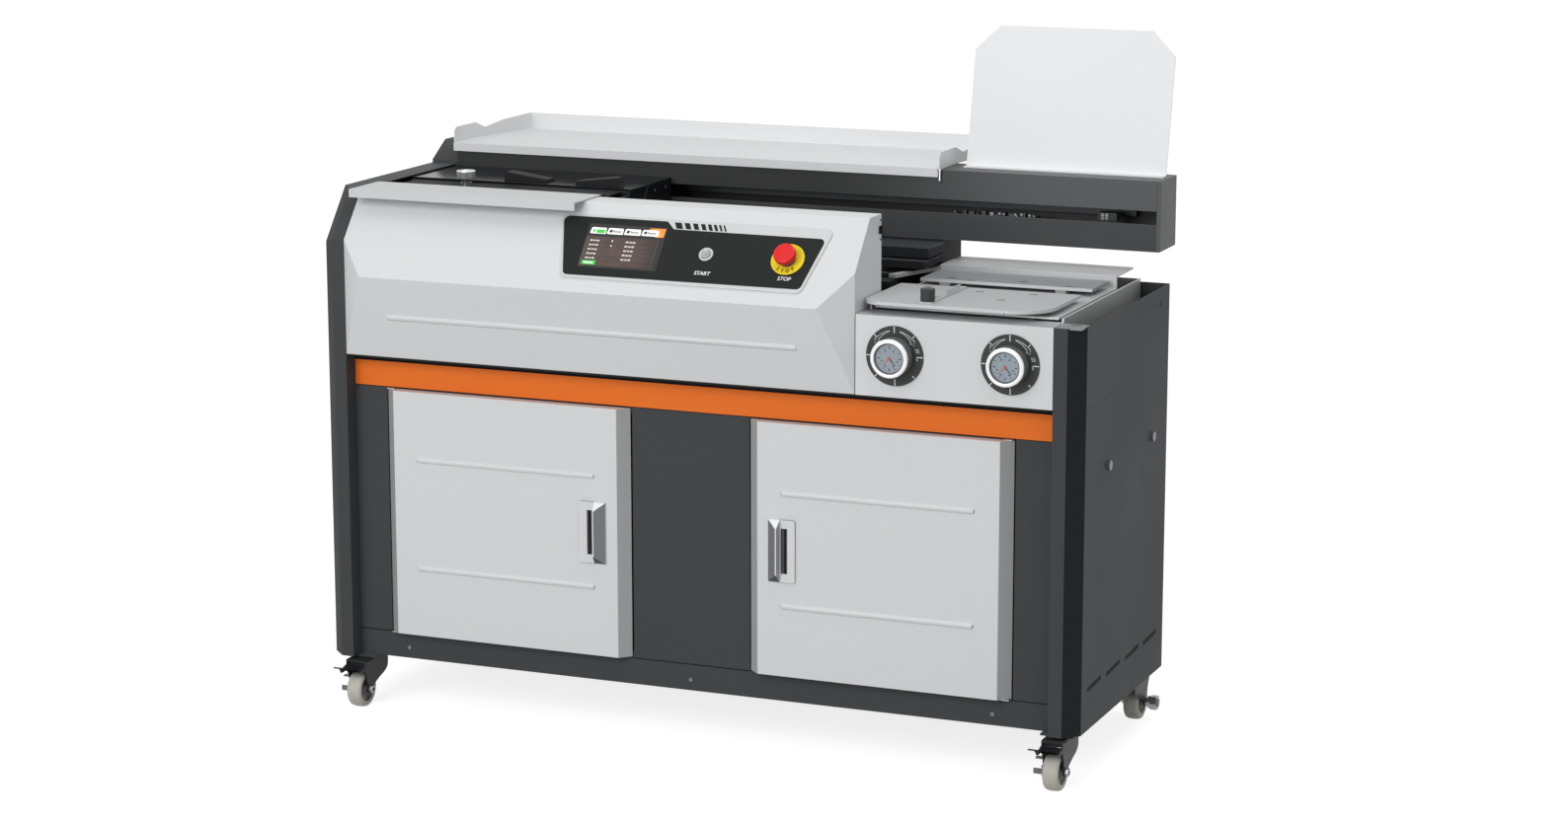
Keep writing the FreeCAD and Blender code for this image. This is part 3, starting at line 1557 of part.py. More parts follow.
def control_box():
    """Steel box of five plates, open at the back, that fills the compartment between the cupboards."""
    wall = "control_wall"
    front = "panel_plane + sheet + crossbar_depth"
    low = "floor_gap + sheet"
    high = "seam - deck_thickness"
    inside = (f"control_left + {wall}", f"control_right - {wall}")
    behind = (f"{front} + {wall}", "depth - sheet - inlet_depth")
    node("control_box", together(
        block(("control_left", "control_right"), (front, f"{front} + {wall}"), (low, high)),
        block(("control_left", inside[0]), behind, (low, high)),
        block((inside[1], "control_right"), behind, (low, high)),
        block(inside, behind, (low, f"{low} + {wall}")),
        block(inside, behind, (f"{high} - {wall}", high)),
    ))


def power_inlet():
    """Appliance inlet in the rear panel: shroud, cavity and three pins."""
    x = "inlet_x"
    inner = "inlet_width / 2 - 1"
    shroud = block(
        (f"{x} - ({inner})", f"{x} + {inner}"), ("depth - inlet_depth", "depth"), ("inlet_z + 1", "inlet_z + inlet_height - 1"),
    )
    flange = block(
        (f"{x} - inlet_width / 2 - 4", f"{x} + inlet_width / 2 + 4"), ("depth", "depth + sheet"),
        ("inlet_z - 4", "inlet_z + inlet_height + 4"),
    )
    cavity = block(
        (f"{x} - inlet_width / 4", f"{x} + inlet_width / 4"), ("depth + sheet - inlet_cavity", "depth + 2 * sheet"),
        ("inlet_z + inlet_height / 6", "inlet_z + inlet_height * 5 / 6"),
    )
    pins = [
        block(
            (f"{x} + {offset} - 2", f"{x} + {offset} + 2"), ("depth + sheet - inlet_cavity - 1", "depth - sheet"),
            ("inlet_z + inlet_height / 2 - 1", "inlet_z + inlet_height / 2 + 1"),
        )
        for offset in (-7, 0, 7)
    ]
    node("power_inlet", join(carve(join(shroud, flange), cavity), *pins))


# ---------------------------------------------------------------- casters

def wheel_place(corner, y):
    """Where the axle is: front wheels trail towards the front, rear ones towards the back."""
    return f"({y} - caster_trail)" if corner.startswith("front") else f"({y} + caster_trail)"


def caster_fork(corner, x, y):
    """Fork with hood, cheeks, kingpin, axle and nuts."""
    ahead = "-" if corner.startswith("front") else "+"
    behind = "+" if corner.startswith("front") else "-"
    wheel_y = wheel_place(corner, y)
    top = "swivel_top"
    ends = (f"{wheel_y} {ahead} fork_front", f"{y} {behind} fork_back")
    hood = block((f"{x} - cheek_outer", f"{x} + cheek_outer"), ends if ahead == "-" else ends[::-1], (f"{top} - fork_top", top))
    cheek = [
        (f"{wheel_y} {ahead} fork_front", top),
        (f"{wheel_y} {ahead} fork_front", f"{top} - fork_front"),
        (f"{wheel_y} {ahead} 2.2 * axle_radius", "wheel_radius"),
        (f"{wheel_y} {ahead} axle_radius", "wheel_radius - 2.2 * axle_radius"),
        (f"{wheel_y} {behind} axle_radius", "wheel_radius - 2.2 * axle_radius"),
        (f"{y} {behind} fork_back", f"{top} - fork_leg"),
        (f"{y} {behind} fork_back", top),
    ]
    pieces = [
        hood,
        prism("YZ", cheek, f"{x} - cheek_outer", f"{x} - cheek_inner"),
        prism("YZ", cheek, f"{x} + cheek_inner", f"{x} + cheek_outer"),
        rod("Z", "kingpin_radius", "fork_top + caster_plate + swivel_gap", x, y, f"{top} - fork_top"),
        rod("X", "axle_radius", "2 * (cheek_outer + axle_nut_width)", f"{x} - cheek_outer - axle_nut_width", wheel_y, "wheel_radius"),
        rod("X", "axle_nut", "axle_nut_width", f"{x} - cheek_outer - axle_nut_width", wheel_y, "wheel_radius"),
        rod("X", "axle_nut", "axle_nut_width", f"{x} + cheek_outer", wheel_y, "wheel_radius"),
    ]
    if corner.startswith("front"):
        pieces.append(rod(
            "X", "pedal_pin_radius", "2 * cheek_outer", f"{x} - cheek_outer", f"{wheel_y} - fork_front + pedal_knuckle", "pedal_pin_z",
        ))
    node(f"{corner}_caster_fork", join(*pieces))


def caster_wheel(corner, x, y):
    """Wheel with rounded tread edges and its bore."""
    wheel_y = wheel_place(corner, y)
    tyre = rod("X", "wheel_radius", "wheel_width", f"{x} - wheel_width / 2", wheel_y, "wheel_radius")
    rounded = DOC.addObject("Part::Fillet", "rounded")
    rounded.Base = tyre
    DOC.recompute()
    rims = [
        number for number, edge in enumerate(tyre.Shape.Edges, start=1) if len(edge.Vertexes) == 1
    ]
    size = SIZES["wheel_round"]
    rounded.Edges = [(number, size, size) for number in rims]
    bore = rod("X", "axle_radius + fit_clearance", "wheel_width + 2", f"{x} - wheel_width / 2 - 1", wheel_y, "wheel_radius")
    node(f"{corner}_wheel", carve(rounded, bore))


def brake_pedal(corner, x, y):
    """Foot lever on the pin between the fork's cheeks, reaching forward and to the left."""
    pin_y = f"{y} - caster_trail - fork_front + pedal_knuckle"
    inner = "cheek_inner - slide_gap"
    level = ("pedal_pin_z - pedal_thickness / 2", "pedal_pin_z + pedal_thickness / 2")
    knuckle = rod("X", "pedal_knuckle", f"2 * ({inner})", f"{x} - ({inner})", pin_y, "pedal_pin_z")
    front = f"{pin_y} - pedal_knuckle"
    lever = block((f"{x} - ({inner})", f"{x} + {inner}"), (f"{front} - pedal_reach", pin_y), level)
    tread = block(
        (f"{x} - cheek_outer - pedal_overhang", f"{x} + {inner}"), (f"{front} - pedal_reach", f"{front} - pedal_reach / 2"), level,
    )
    bore = rod("X", "pedal_pin_radius + fit_clearance", "2 * cheek_outer", f"{x} - cheek_outer", pin_y, "pedal_pin_z")
    node(f"{corner}_brake_pedal", carve(join(knuckle, lever, tread), bore))


# ---------------------------------------------------------------- fasteners

def panel_fasteners():
    """Round-headed side bolts on both side panels and the screws of the front rail."""
    pieces = []
    for y in ("side_bolt_front", "side_bolt_rear"):
        pieces.append(rod("X", "side_bolt_radius", "side_bolt_height", "width", y, "side_bolt_z"))
        pieces.append(rod("X", "side_bolt_radius", "side_bolt_height", "-side_bolt_height", y, "side_bolt_z"))
    for x in ("rail_screw_left", "rail_screw_middle", "rail_screw_right"):
        pieces.append(rod("Y", "rail_screw_radius", "rail_screw_height", x, "front_recess - rail_screw_height", "rail_screw_z"))
    node("panel_fasteners", together(*pieces))


def build():
    fill_sheet()
    for side in ("left", "right"):
        side_panel(side)
        door(side)
        door_handle(side)
        adjusting_knob(side)
        stop_block(side)
    left_upper_panel()
    right_upper_panel()
    base_frame()
    door_frame()
    trim_band()
    deck_plate()
    rear_panel()
    rear_housing()
    door_hinge_pins()
    front_cover()
    control_panel()
    touch_screen()
    start_button()
    emergency_stop()
    table_fascia()
    table_frame()
    lift_table()
    front_nip_plate()
    rear_nip_plate()
    side_guide()
    guide_knob()
    guide_beam()
    linear_rail()
    drive_chain()
    document_tray()
    cover_platform()
    carriage_frame()
    carriage_casing()
    book_shelf()
    front_jaw()
    clamp_knob()
    carriage_motor()
    drive_sprocket()
    milling_motor()
    milling_cutter()
    glue_tank()
    glue_roller()
    control_box()
    power_inlet()
    for corner, x, y in caster_places():
        caster_fork(corner, x, y)
        caster_wheel(corner, x, y)
        if corner.startswith("front"):
            brake_pedal(corner, x, y)
    panel_fasteners()
    DOC.recompute()


def check():
    """Stop before anything is written if an object failed or a shape is empty or broken."""
    for item in DOC.Objects:
        if "Invalid" in item.State or "Error" in item.State:
            raise RuntimeError(f"{item.Label} failed: {item.State}")
    for name, piece in NODES.items():
        if piece.Shape.isNull() or not piece.Shape.isValid() or not piece.Shape.Solids:
            raise RuntimeError(f"{name} has no valid shape")


def write():
    os.makedirs("parts", exist_ok=True)
    for name, piece in NODES.items():
        piece.Shape.exportStep(f"parts/{name}.step")
        box = piece.Shape.BoundBox
        print(f"{name}: {len(piece.Shape.Solids)} solids, {piece.Shape.Volume / 1000:.0f} cm3, "
              f"x {box.XMin:.1f}..{box.XMax:.1f} y {box.YMin:.1f}..{box.YMax:.1f} z {box.ZMin:.1f}..{box.ZMax:.1f}")
    print(len(NODES), "nodes")


build()
check()
write()
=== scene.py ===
import bmesh
import bpy
import json
import math
from mathutils import Matrix, Vector

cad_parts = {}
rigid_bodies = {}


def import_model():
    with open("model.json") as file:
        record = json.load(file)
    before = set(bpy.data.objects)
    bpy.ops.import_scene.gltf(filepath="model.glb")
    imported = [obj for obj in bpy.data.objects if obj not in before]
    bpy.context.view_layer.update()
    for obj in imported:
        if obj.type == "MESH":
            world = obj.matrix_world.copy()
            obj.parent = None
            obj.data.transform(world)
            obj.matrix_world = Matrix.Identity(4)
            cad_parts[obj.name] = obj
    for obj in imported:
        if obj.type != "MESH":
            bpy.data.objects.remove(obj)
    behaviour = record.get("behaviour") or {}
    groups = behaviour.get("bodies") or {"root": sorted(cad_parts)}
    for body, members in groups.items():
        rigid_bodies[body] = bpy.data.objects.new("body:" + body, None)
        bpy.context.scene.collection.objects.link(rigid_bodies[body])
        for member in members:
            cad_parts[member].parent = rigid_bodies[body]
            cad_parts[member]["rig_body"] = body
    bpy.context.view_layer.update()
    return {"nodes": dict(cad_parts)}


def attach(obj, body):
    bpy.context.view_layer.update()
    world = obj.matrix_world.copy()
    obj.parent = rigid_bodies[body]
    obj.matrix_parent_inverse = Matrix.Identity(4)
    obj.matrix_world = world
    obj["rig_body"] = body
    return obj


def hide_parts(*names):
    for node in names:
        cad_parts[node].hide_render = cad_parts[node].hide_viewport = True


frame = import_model()
print("frame loaded:", len(frame["nodes"]), "nodes")

# pieces are drawn in millimetres: x from the machine's left end, y back from its front, z up
toRow = Matrix.Scale(0.001, 4) @ Matrix.Translation((-750, -374.1, 0))
slopeTurn = math.radians(39.13)


# places on the machine, whose local z axis looks out of the face
def frontPlace(x, y, z):
    return Matrix(((1, 0, 0, x), (0, 0, -1, y), (0, 1, 0, z), (0, 0, 0, 1)))


def rightPlace(x, y, z):
    return Matrix(((0, 0, 1, x), (1, 0, 0, y), (0, 1, 0, z), (0, 0, 0, 1)))


def leftPlace(x, y, z):
    return Matrix(((0, 0, -1, x), (-1, 0, 0, y), (0, 1, 0, z), (0, 0, 0, 1)))


def zTurn(degrees):
    return Matrix.Rotation(math.radians(degrees), 4, "Z")


def slopePlace(x, up, out=0):
    sine, cosine = math.sin(slopeTurn), math.cos(slopeTurn)
    y = 1.6 + up * sine - out * cosine
    z = 907 + up * cosine + out * sine
    return Matrix(((1, 0, 0, x), (0, sine, -cosine, y), (0, cosine, sine, z), (0, 0, 0, 1)))


# shapes, added to a bmesh
def ringFaces(form, rings, tone):
    faces = []
    for lower, upper in zip(rings, rings[1:]):
        count = max(len(lower), len(upper))
        for i in range(count):
            j = (i + 1) % count
            corners = [ring[k % len(ring)] for ring, k in ((lower, i), (lower, j), (upper, j), (upper, i))]
            face = form.faces.new(list(dict.fromkeys(corners)))
            face.material_index = tone
            faces.append(face)
    return faces


def stackRings(form, rows, place):
    return [[form.verts.new(place @ Vector((x, y, level))) for x, y in points] for points, level in rows]


def addPlate(form, points, low, high, place=Matrix(), tone=0, rim=0):
    rings = stackRings(form, [(points, low), (points, high)], place)
    ringFaces(form, rings, tone)
    lid = form.faces.new(rings[1])
    floor = form.faces.new(rings[0][::-1])
    lid.material_index = floor.material_index = tone
    if rim:
        done = bmesh.ops.bevel(form, geom=lid.edges[:], offset=rim, segments=2, affect="EDGES", profile=0.6)
        for face in done["faces"]:
            face.material_index = tone


def addHoledPlate(form, outer, inner, low, high, place):
    # both outlines carry the same number of points
    rings = stackRings(form, [(outer, low), (outer, high), (inner, high), (inner, low)], place)
    return ringFaces(form, rings + [rings[0]], 0)


def addBlock(form, low, high, place=Matrix(), tone=0, rim=0):
    addPlate(form, boxOutline(low[0], low[1], high[0], high[1]), low[2], high[2], place, tone, rim)


def addTurned(form, profile, place=Matrix(), sides=40, tone=0, loop=False):
    rows = [(circleOutline(radius, sides) if radius else [(0, 0)], height) for radius, height in profile]
    rings = stackRings(form, rows, place)
    if loop:
        rings.append(rings[0])
    ringFaces(form, rings, tone)


def addDisc(form, radius, low, high, place=Matrix(), sides=40, tone=0):
    addTurned(form, [(0, low), (radius, low), (radius, high), (0, high)], place, sides, tone)


def addRing(form, inner, outer, low, high, place=Matrix(), sides=40, tone=0):
    profile = [(inner, low), (outer, low), (outer, high), (inner, high)]
    addTurned(form, profile, place, sides, tone, True)


def addTube(form, path, radius, place=Matrix(), sides=12, tone=0):
    points = [place @ Vector(p) for p in path]
    last = len(points) - 1
    tangents = [(points[min(i + 1, last)] - points[max(i - 1, 0)]).normalized() for i in range(last + 1)]
    side = tangents[0].orthogonal().normalized()
    rings = []
    for point, tangent in zip(points, tangents):
        side = (side - tangent * side.dot(tangent)).normalized()
        other = tangent.cross(side)
        turns = circleOutline(radius, sides)
        rings.append([form.verts.new(point + x * side + y * other) for x, y in turns])
    ringFaces(form, rings, tone)
    for cap in (rings[0][::-1], rings[-1]):
        form.faces.new(cap).material_index = tone


def addStroke(form, points, width, low, high, place, tone):
    line = [Vector(p) for p in points]
    left, right = [], []
    for i, point in enumerate(line):
        along = (line[min(i + 1, len(line) - 1)] - line[max(i - 1, 0)]).normalized()
        darkerEndRamp = Vector((-along.y, along.x)) * width / 2
        left.append(tuple(point + darkerEndRamp))
        right.append(tuple(point - darkerEndRamp))
    addPlate(form, left + right[::-1], low, high, place, tone)


def roundedOutline(points, radii, steps=6):
    outline = []
    for i, corner in enumerate(points):
        here = Vector(corner)
        before = (Vector(points[i - 1]) - here).normalized()
        after = (Vector(points[(i + 1) % len(points)]) - here).normalized()
        radius = radii[i] if isinstance(radii, list) else radii
        half = before.angle(after) / 2
        reach = radius / math.tan(half)
        centre = here + (before + after).normalized() * radius / math.sin(half)
        start, end = here + before * reach - centre, here + after * reach - centre
        turn = start.angle(end) * (1 if start.cross(end) > 0 else -1)
        for step in range(steps + 1):
            outline.append(tuple(centre + Matrix.Rotation(turn * step / steps, 2) @ start))
    return outline


def atTurn(radius, degrees):
    return (radius * math.cos(math.radians(degrees)), radius * math.sin(math.radians(degrees)))


def circleOutline(radius, sides=40, middle=(0, 0)):
    points = [atTurn(radius, 360 * i / sides) for i in range(sides)]
    return [(middle[0] + x, middle[1] + y) for x, y in points]


def knurledOutline(radius, depth, ribs):
    return [atTurn(radius if i % 4 < 2 else radius - depth, 90 * i / ribs) for i in range(ribs * 4)]


def boxOutline(left, low, right, high):
    return [(left, low), (right, low), (right, high), (left, high)]


def addToScene(name, data):
    thing = bpy.data.objects.new(name, data)
    bpy.context.scene.collection.objects.link(thing)
    return thing


def finishPiece(name, form, tones, stands=None, body="machine", angle=36, soften=0, drawn=True):
    if drawn:
        bmesh.ops.recalc_face_normals(form, faces=form.faces)
        form.transform(toRow)
    mesh = bpy.data.meshes.new(name)
    form.to_mesh(mesh)
    form.free()
    for tone in tones.split():
        mesh.materials.append(finishes[tone])
    piece = addToScene(name, mesh)
    if soften:
        rim = piece.modifiers.new("softened edges", "BEVEL")
        rim.width = soften / 1000
        rim.segments = 2
        rim.limit_method = "ANGLE"
        rim.angle_limit = math.radians(40)
    for face in mesh.polygons:
        face.use_smooth = True
    mesh.set_sharp_from_angle(angle=math.radians(angle))
    weighted = piece.modifiers.new("even shading", "WEIGHTED_NORMAL")
    weighted.keep_sharp = True
    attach(piece, frame["nodes"][stands]["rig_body"] if stands else body)
    if stands:
        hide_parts(stands)


# a node's output is linked to the input, anything else is set on it
def feed(tree, node, inputs):
    for key, value in inputs.items():
        if isinstance(value, bpy.types.NodeSocket):
            tree.links.new(value, node.inputs[key])
        else:
            node.inputs[key].default_value = value


def newNode(tree, kind, inputs, **settings):
    node = tree.nodes.new("ShaderNode" + kind)
    for name, value in settings.items():
        setattr(node, name, value)
    feed(tree, node, inputs)
    return node.outputs


def calc(tree, operation, first, second, clamp=False):
    return newNode(tree, "Math", {0: first, 1: second}, operation=operation, use_clamp=clamp)[0]


def mixColour(tree, factor, first, second):
    return newNode(tree, "Mix", {0: factor, 6: first, 7: second}, data_type="RGBA")[2]


def rangeNode(tree, value, low, high):
    return newNode(tree, "MapRange", {"Value": value, "To Min": low, "To Max": high})[0]


def objectPoints(tree):
    return newNode(tree, "TexCoord", {})["Object"]


def noiseNode(tree, where, inputs):
    return newNode(tree, "TexNoise", {"Vector": where, **inputs})[0]


# node groups that several finishes share
def newGroup(name, inputs, outputs):
    group = bpy.data.node_groups.new(name, "ShaderNodeTree")
    for label, value in inputs.items():
        kind = "NodeSocketVector" if isinstance(value, tuple) else "NodeSocketFloat"
        group.interface.new_socket(name=label, in_out="INPUT", socket_type=kind).default_value = value
    for label in outputs:
        group.interface.new_socket(name=label, in_out="OUTPUT", socket_type="NodeSocketFloat")
    return group, group.nodes.new("NodeGroupInput").outputs, group.nodes.new("NodeGroupOutput")


def buildCloudyTone():
    # slow drift of tone over a sheet, as paint and rolled metal have
    group, start, end = newGroup("cloudyTone", {"Scale": 3.0, "Contrast": 1.0}, ["Mask"])
    clouds = noiseNode(group, objectPoints(group), {"Scale": start["Scale"], "Detail": 3, "Roughness": 0.45})
    drift = calc(group, "MULTIPLY", calc(group, "SUBTRACT", clouds, 0.5), start["Contrast"])
    feed(group, end, {"Mask": calc(group, "ADD", drift, 0.5, True)})
    return group


def buildPowderGrain():
    # orange peel of powder coat and moulded skins
    group, start, end = newGroup("powderGrain", {"Scale": 900.0, "Coarse Share": 0.35}, ["Height", "Speck"])
    where = objectPoints(group)
    fine = noiseNode(group, where, {"Scale": start["Scale"], "Detail": 2})
    coarse = noiseNode(group, where, {"Scale": calc(group, "MULTIPLY", start["Scale"], 0.22), "Detail": 1})
    share = calc(group, "MULTIPLY", coarse, start["Coarse Share"])
    speck = calc(group, "MULTIPLY", calc(group, "SUBTRACT", fine, 0.55), 6.0, True)
    feed(group, end, {"Height": calc(group, "ADD", fine, share), "Speck": speck})
    return group


def buildBrushedLines():
    # fine lines that run one way over rolled or brushed metal
    group, start, end = newGroup("brushedLines", {"Stretch": (20.0, 900.0, 900.0)}, ["Height", "Streak"])
    scaled = newNode(group, "VectorMath", {0: objectPoints(group), 1: start["Stretch"]}, operation="MULTIPLY")
    lines = noiseNode(group, scaled[0], {"Scale": 1, "Detail": 3})
    streak = calc(group, "MULTIPLY", calc(group, "SUBTRACT", lines, 0.5), 2.4)
    feed(group, end, {"Height": lines, "Streak": calc(group, "ADD", streak, 0.5, True)})
    return group


def buildHandledWear():
    # faint smudges from hands, and dust that settles on level faces
    group, start, end = newGroup("handledWear", {"Scale": 14.0, "Cover": 0.45}, ["Smudge", "Dust"])
    patches = noiseNode(group, objectPoints(group), {"Scale": start["Scale"], "Detail": 5, "Distortion": 0.6})
    bare = calc(group, "SUBTRACT", 1.0, start["Cover"])
    smudge = calc(group, "MULTIPLY", calc(group, "SUBTRACT", patches, bare), 5.0, True)
    normal = newNode(group, "NewGeometry", {})["Normal"]
    upward = newNode(group, "SeparateXYZ", {0: normal})["Z"]
    level = calc(group, "MULTIPLY", calc(group, "SUBTRACT", upward, 0.75), 4.0, True)
    feed(group, end, {"Smudge": smudge, "Dust": calc(group, "MULTIPLY", level, patches)})
    return group


cloudyTone, powderGrain = buildCloudyTone(), buildPowderGrain()
brushedLines, handledWear = buildBrushedLines(), buildHandledWear()
print("node groups built")


# a colour out of 255 as the shader takes it
def linear(colour):
    shares = [value / 255 for value in colour]
    return tuple(s / 12.92 if s <= 0.04045 else ((s + 0.055) / 1.055) ** 2.4 for s in shares) + (1,)


def shade(colour, factor):
    return tuple(c * factor for c in colour[:3]) + (1,)


def makeFinish(name, colour, roughness, drift=0.05, grain=None, lines=None, bump=0.08, dust=0.0, smudge=0.05,
               metallic=0.0, coat=0.0, tone=3.0, specular=0.5, glow=0.0, spread=0.06, darkerEndRamp=None):
    finish = bpy.data.materials.new(name)
    finish.use_nodes = True
    tree = finish.node_tree
    shader = tree.nodes["Principled BSDF"]
    clouds = newNode(tree, "Group", {"Scale": tone, "Contrast": 1.6}, node_tree=cloudyTone)["Mask"]
    wear = newNode(tree, "Group", {"Scale": 11.0, "Cover": 0.42}, node_tree=handledWear)
    base = mixColour(tree, clouds, shade(colour, 1 - drift), shade(colour, 1 + drift))
    if darkerEndRamp:
        # the base colour darkens towards one end along x: on the beam's paint this is painted shade over the
        # beam's left part; on the screen picture the table darkens towards its right end
        start, end, factor = darkerEndRamp
        along = newNode(tree, "SeparateXYZ", {0: objectPoints(tree)})["X"]
        ramp = newNode(tree, "MapRange", {"Value": along, "From Min": start, "From Max": end},
                       interpolation_type="SMOOTHSTEP")
        base = mixColour(tree, ramp[0], shade(colour, factor), base)
    base = mixColour(tree, calc(tree, "MULTIPLY", wear["Dust"], dust), base, (0.55, 0.54, 0.52, 1))
    rough = rangeNode(tree, clouds, roughness - spread, roughness + spread)
    rough = calc(tree, "ADD", rough, calc(tree, "MULTIPLY", wear["Smudge"], smudge))
    if lines:
        texture = newNode(tree, "Group", {"Stretch": lines}, node_tree=brushedLines)
        base = mixColour(tree, calc(tree, "MULTIPLY", texture["Streak"], 0.1), base, shade(colour, 0.72))
        rough = calc(tree, "ADD", rough, calc(tree, "MULTIPLY", texture["Streak"], 0.05))
    else:
        texture = newNode(tree, "Group", {"Scale": grain}, node_tree=powderGrain)
        base = mixColour(tree, calc(tree, "MULTIPLY", texture["Speck"], 0.05), base, shade(colour, 1.25))
    relief = newNode(tree, "Bump", {"Strength": bump, "Distance": 0.0004, "Height": texture["Height"]})
    feed(tree, shader, {"Metallic": metallic, "Coat Weight": coat, "Coat Roughness": 0.1,
                        "Specular IOR Level": specular, "Base Color": base, "Roughness": rough,
                        "Normal": relief[0]})
    if glow:
        feed(tree, shader, {"Emission Color": base, "Emission Strength": glow})
    return finish


# texture that each family of finishes shares
paint = dict(grain=700, bump=0.05)
darkCoat = dict(grain=650, bump=0.08, drift=0.05)
sheet = dict(lines=(14, 700, 700), bump=0.04, drift=0.02)
steel = dict(lines=(20, 900, 900), bump=0.06, drift=0.05, dust=0.04)
plated = dict(grain=300, bump=0.012, drift=0.02, spread=0.03)
screen = dict(grain=900, bump=0.01, drift=0.05)
moulded = dict(grain=500, bump=0.1, drift=0.08, dust=0.04)
rough = dict(grain=420, bump=0.06, drift=0.06)

# family, colour out of 255, roughness and what differs from the family
finishValues = {
    "whitePaint": (paint, (216, 217, 218), 0.42, dict(drift=0.012, smudge=0.02)),
    # a darker grey copy of the white paint, for the door bevels and one face of the handle ridge: painted
    # shade
    "bevelGrey": (paint, (164, 165, 166), 0.42, dict(drift=0.02)),
    "darkPaint": (darkCoat, (71, 73, 75), 0.5, dict(bump=0.1, dust=0.02, specular=0.05)),
    # a darker copy of the dark paint for the panels' chamfers: painted shade
    "chamferDark": (darkCoat, (34, 35, 37), 0.5, dict(specular=0.08)),
    # the beam's paint darkens towards the beam's left end: painted shade
    "beamPaint": (darkCoat, (92, 93, 94), 0.46,
                  dict(drift=0.04, dust=0.02, specular=0.18, darkerEndRamp=(0.05, 0.55, 0.36))),
    # a darker copy of the beam paint for the front below the slot: painted shade
    "beamShade": (darkCoat, (62, 63, 64), 0.5, dict(drift=0.04, dust=0.02, specular=0.3)),
    "innerDark": (moulded, (38, 39, 41), 0.6, dict(specular=0.12)),
    "seamBlack": (paint, (12, 12, 13), 0.7, dict(grain=500, specular=0.1)),
    "orangePaint": (paint, (238, 116, 34), 0.5, dict(drift=0.03, specular=0.25)),
    "greySheet": (sheet, (198, 199, 200), 0.4, dict(metallic=0.2)),
    "dullSheet": (sheet, (150, 151, 153), 0.36, dict(drift=0.05, metallic=0.1, specular=0.12)),
    "gutterSteel": (sheet, (186, 188, 191), 0.34,
                    dict(drift=0.14, lines=(10, 600, 600), metallic=0.3, tone=6)),
    "traySheet": (sheet, (226, 227, 228), 0.45, dict(drift=0.015, lines=(14, 500, 500), smudge=0.02)),
    "blackGloss": (rough, (28, 29, 31), 0.13, dict(bump=0.006, specular=0.1)),
    "jawBlack": (rough, (30, 31, 33), 0.35, dict(bump=0.02, specular=0.01)),
    "matteBlack": (rough, (24, 24, 26), 0.6, dict(grain=700, bump=0.12, specular=0.2)),
    "brushedSteel": (steel, (176, 177, 179), 0.32, dict(metallic=1.0)),
    "dullSteel": (steel, (84, 86, 90), 0.42, dict(drift=0.08, metallic=0.8)),
    "turnedSteel": (steel, (160, 161, 163), 0.4, dict(lines=(900, 60, 900), metallic=0.7)),
    "chromePlate": (plated, (236, 237, 239), 0.14, dict(dust=0.04, smudge=0.06, metallic=1.0)),
    "ringWhite": (plated, (244, 245, 246), 0.22, dict(smudge=0.03, metallic=0.35)),
    "satinSilver": (sheet, (204, 205, 206), 0.36, dict(lines=(16, 800, 800), metallic=0.3)),
    "pullGrey": (sheet, (112, 113, 115), 0.3, dict(drift=0.04, lines=(800, 800, 16), metallic=0.35)),
    # a dark copy of the handle's metal for its faces turned away from the light: painted shade
    "pullDark": (paint, (58, 59, 61), 0.3, dict(drift=0.04, grain=500, bump=0.04, metallic=0.4)),
    "casterZinc": (moulded, (40, 41, 43), 0.42, dict(drift=0.1, grain=380, dust=0.01, specular=0.18)),
    "tabGrey": (moulded, (112, 113, 114), 0.4, dict(grain=380, bump=0.08, metallic=0.2, specular=0.2)),
    "brightZinc": (rough, (150, 151, 152), 0.3, dict(drift=0.1, dust=0.04, metallic=0.75)),
    "blackPlastic": (screen, (52, 53, 54), 0.46, dict(bump=0.08, specular=0.3)),
    "panelFilm": (paint, (36, 38, 38), 0.42, dict(drift=0.03, grain=1200, bump=0.03, specular=0.12)),
    # printed white with a slight glow; the glow is painted light
    "printedWhite": (screen, (240, 241, 242), 0.5, dict(drift=0.02, bump=0.02, glow=0.12)),
    "redPlastic": (paint, (224, 38, 40), 0.42, dict(drift=0.04, bump=0.03, specular=0.3)),
    "yellowPlastic": (paint, (238, 214, 36), 0.45, dict(drift=0.03, grain=800, bump=0.03, specular=0.3)),
    "screenGlass": (screen, (20, 20, 22), 0.2, dict(coat=0.3)),
    "screenTable": (screen, (74, 58, 54), 0.35,
                    dict(drift=0.45, tone=26, glow=0.2, darkerEndRamp=(-0.052, -0.11, 0.38))),
    "screenLight": (screen, (232, 233, 230), 0.4, dict(glow=0.45)),
    "screenText": (screen, (206, 202, 198), 0.4, dict(drift=0.08, glow=0.3)),
    "screenGreen": (screen, (60, 182, 66), 0.4, dict(drift=0.1, tone=60, glow=0.45)),
    "screenOrange": (screen, (230, 138, 62), 0.4, dict(drift=0.35, tone=90, glow=0.5)),
    "gaugeFace": (screen, (146, 157, 167), 0.35, dict(bump=0.02, coat=0.2, tone=20)),
    "needleOrange": (paint, (214, 88, 46), 0.35, dict(drift=0.04, grain=800, bump=0.02)),
    "clearSheet": (paint, (226, 227, 229), 0.4, dict(drift=0.012, grain=300, bump=0.015, smudge=0.0)),
    "tyreGrey": (moulded, (190, 187, 178), 0.55, dict(bump=0.16, tone=14)),
    "hubGrey": (moulded, (78, 77, 74), 0.5, dict(bump=0.12, tone=20)),
    "motorPaint": (rough, (96, 99, 103), 0.5, dict(bump=0.16, dust=0.04)),
    "tankCoat": (moulded, (70, 72, 70), 0.35, dict(drift=0.1, grain=360, metallic=0.3)),
}
finishes = {}
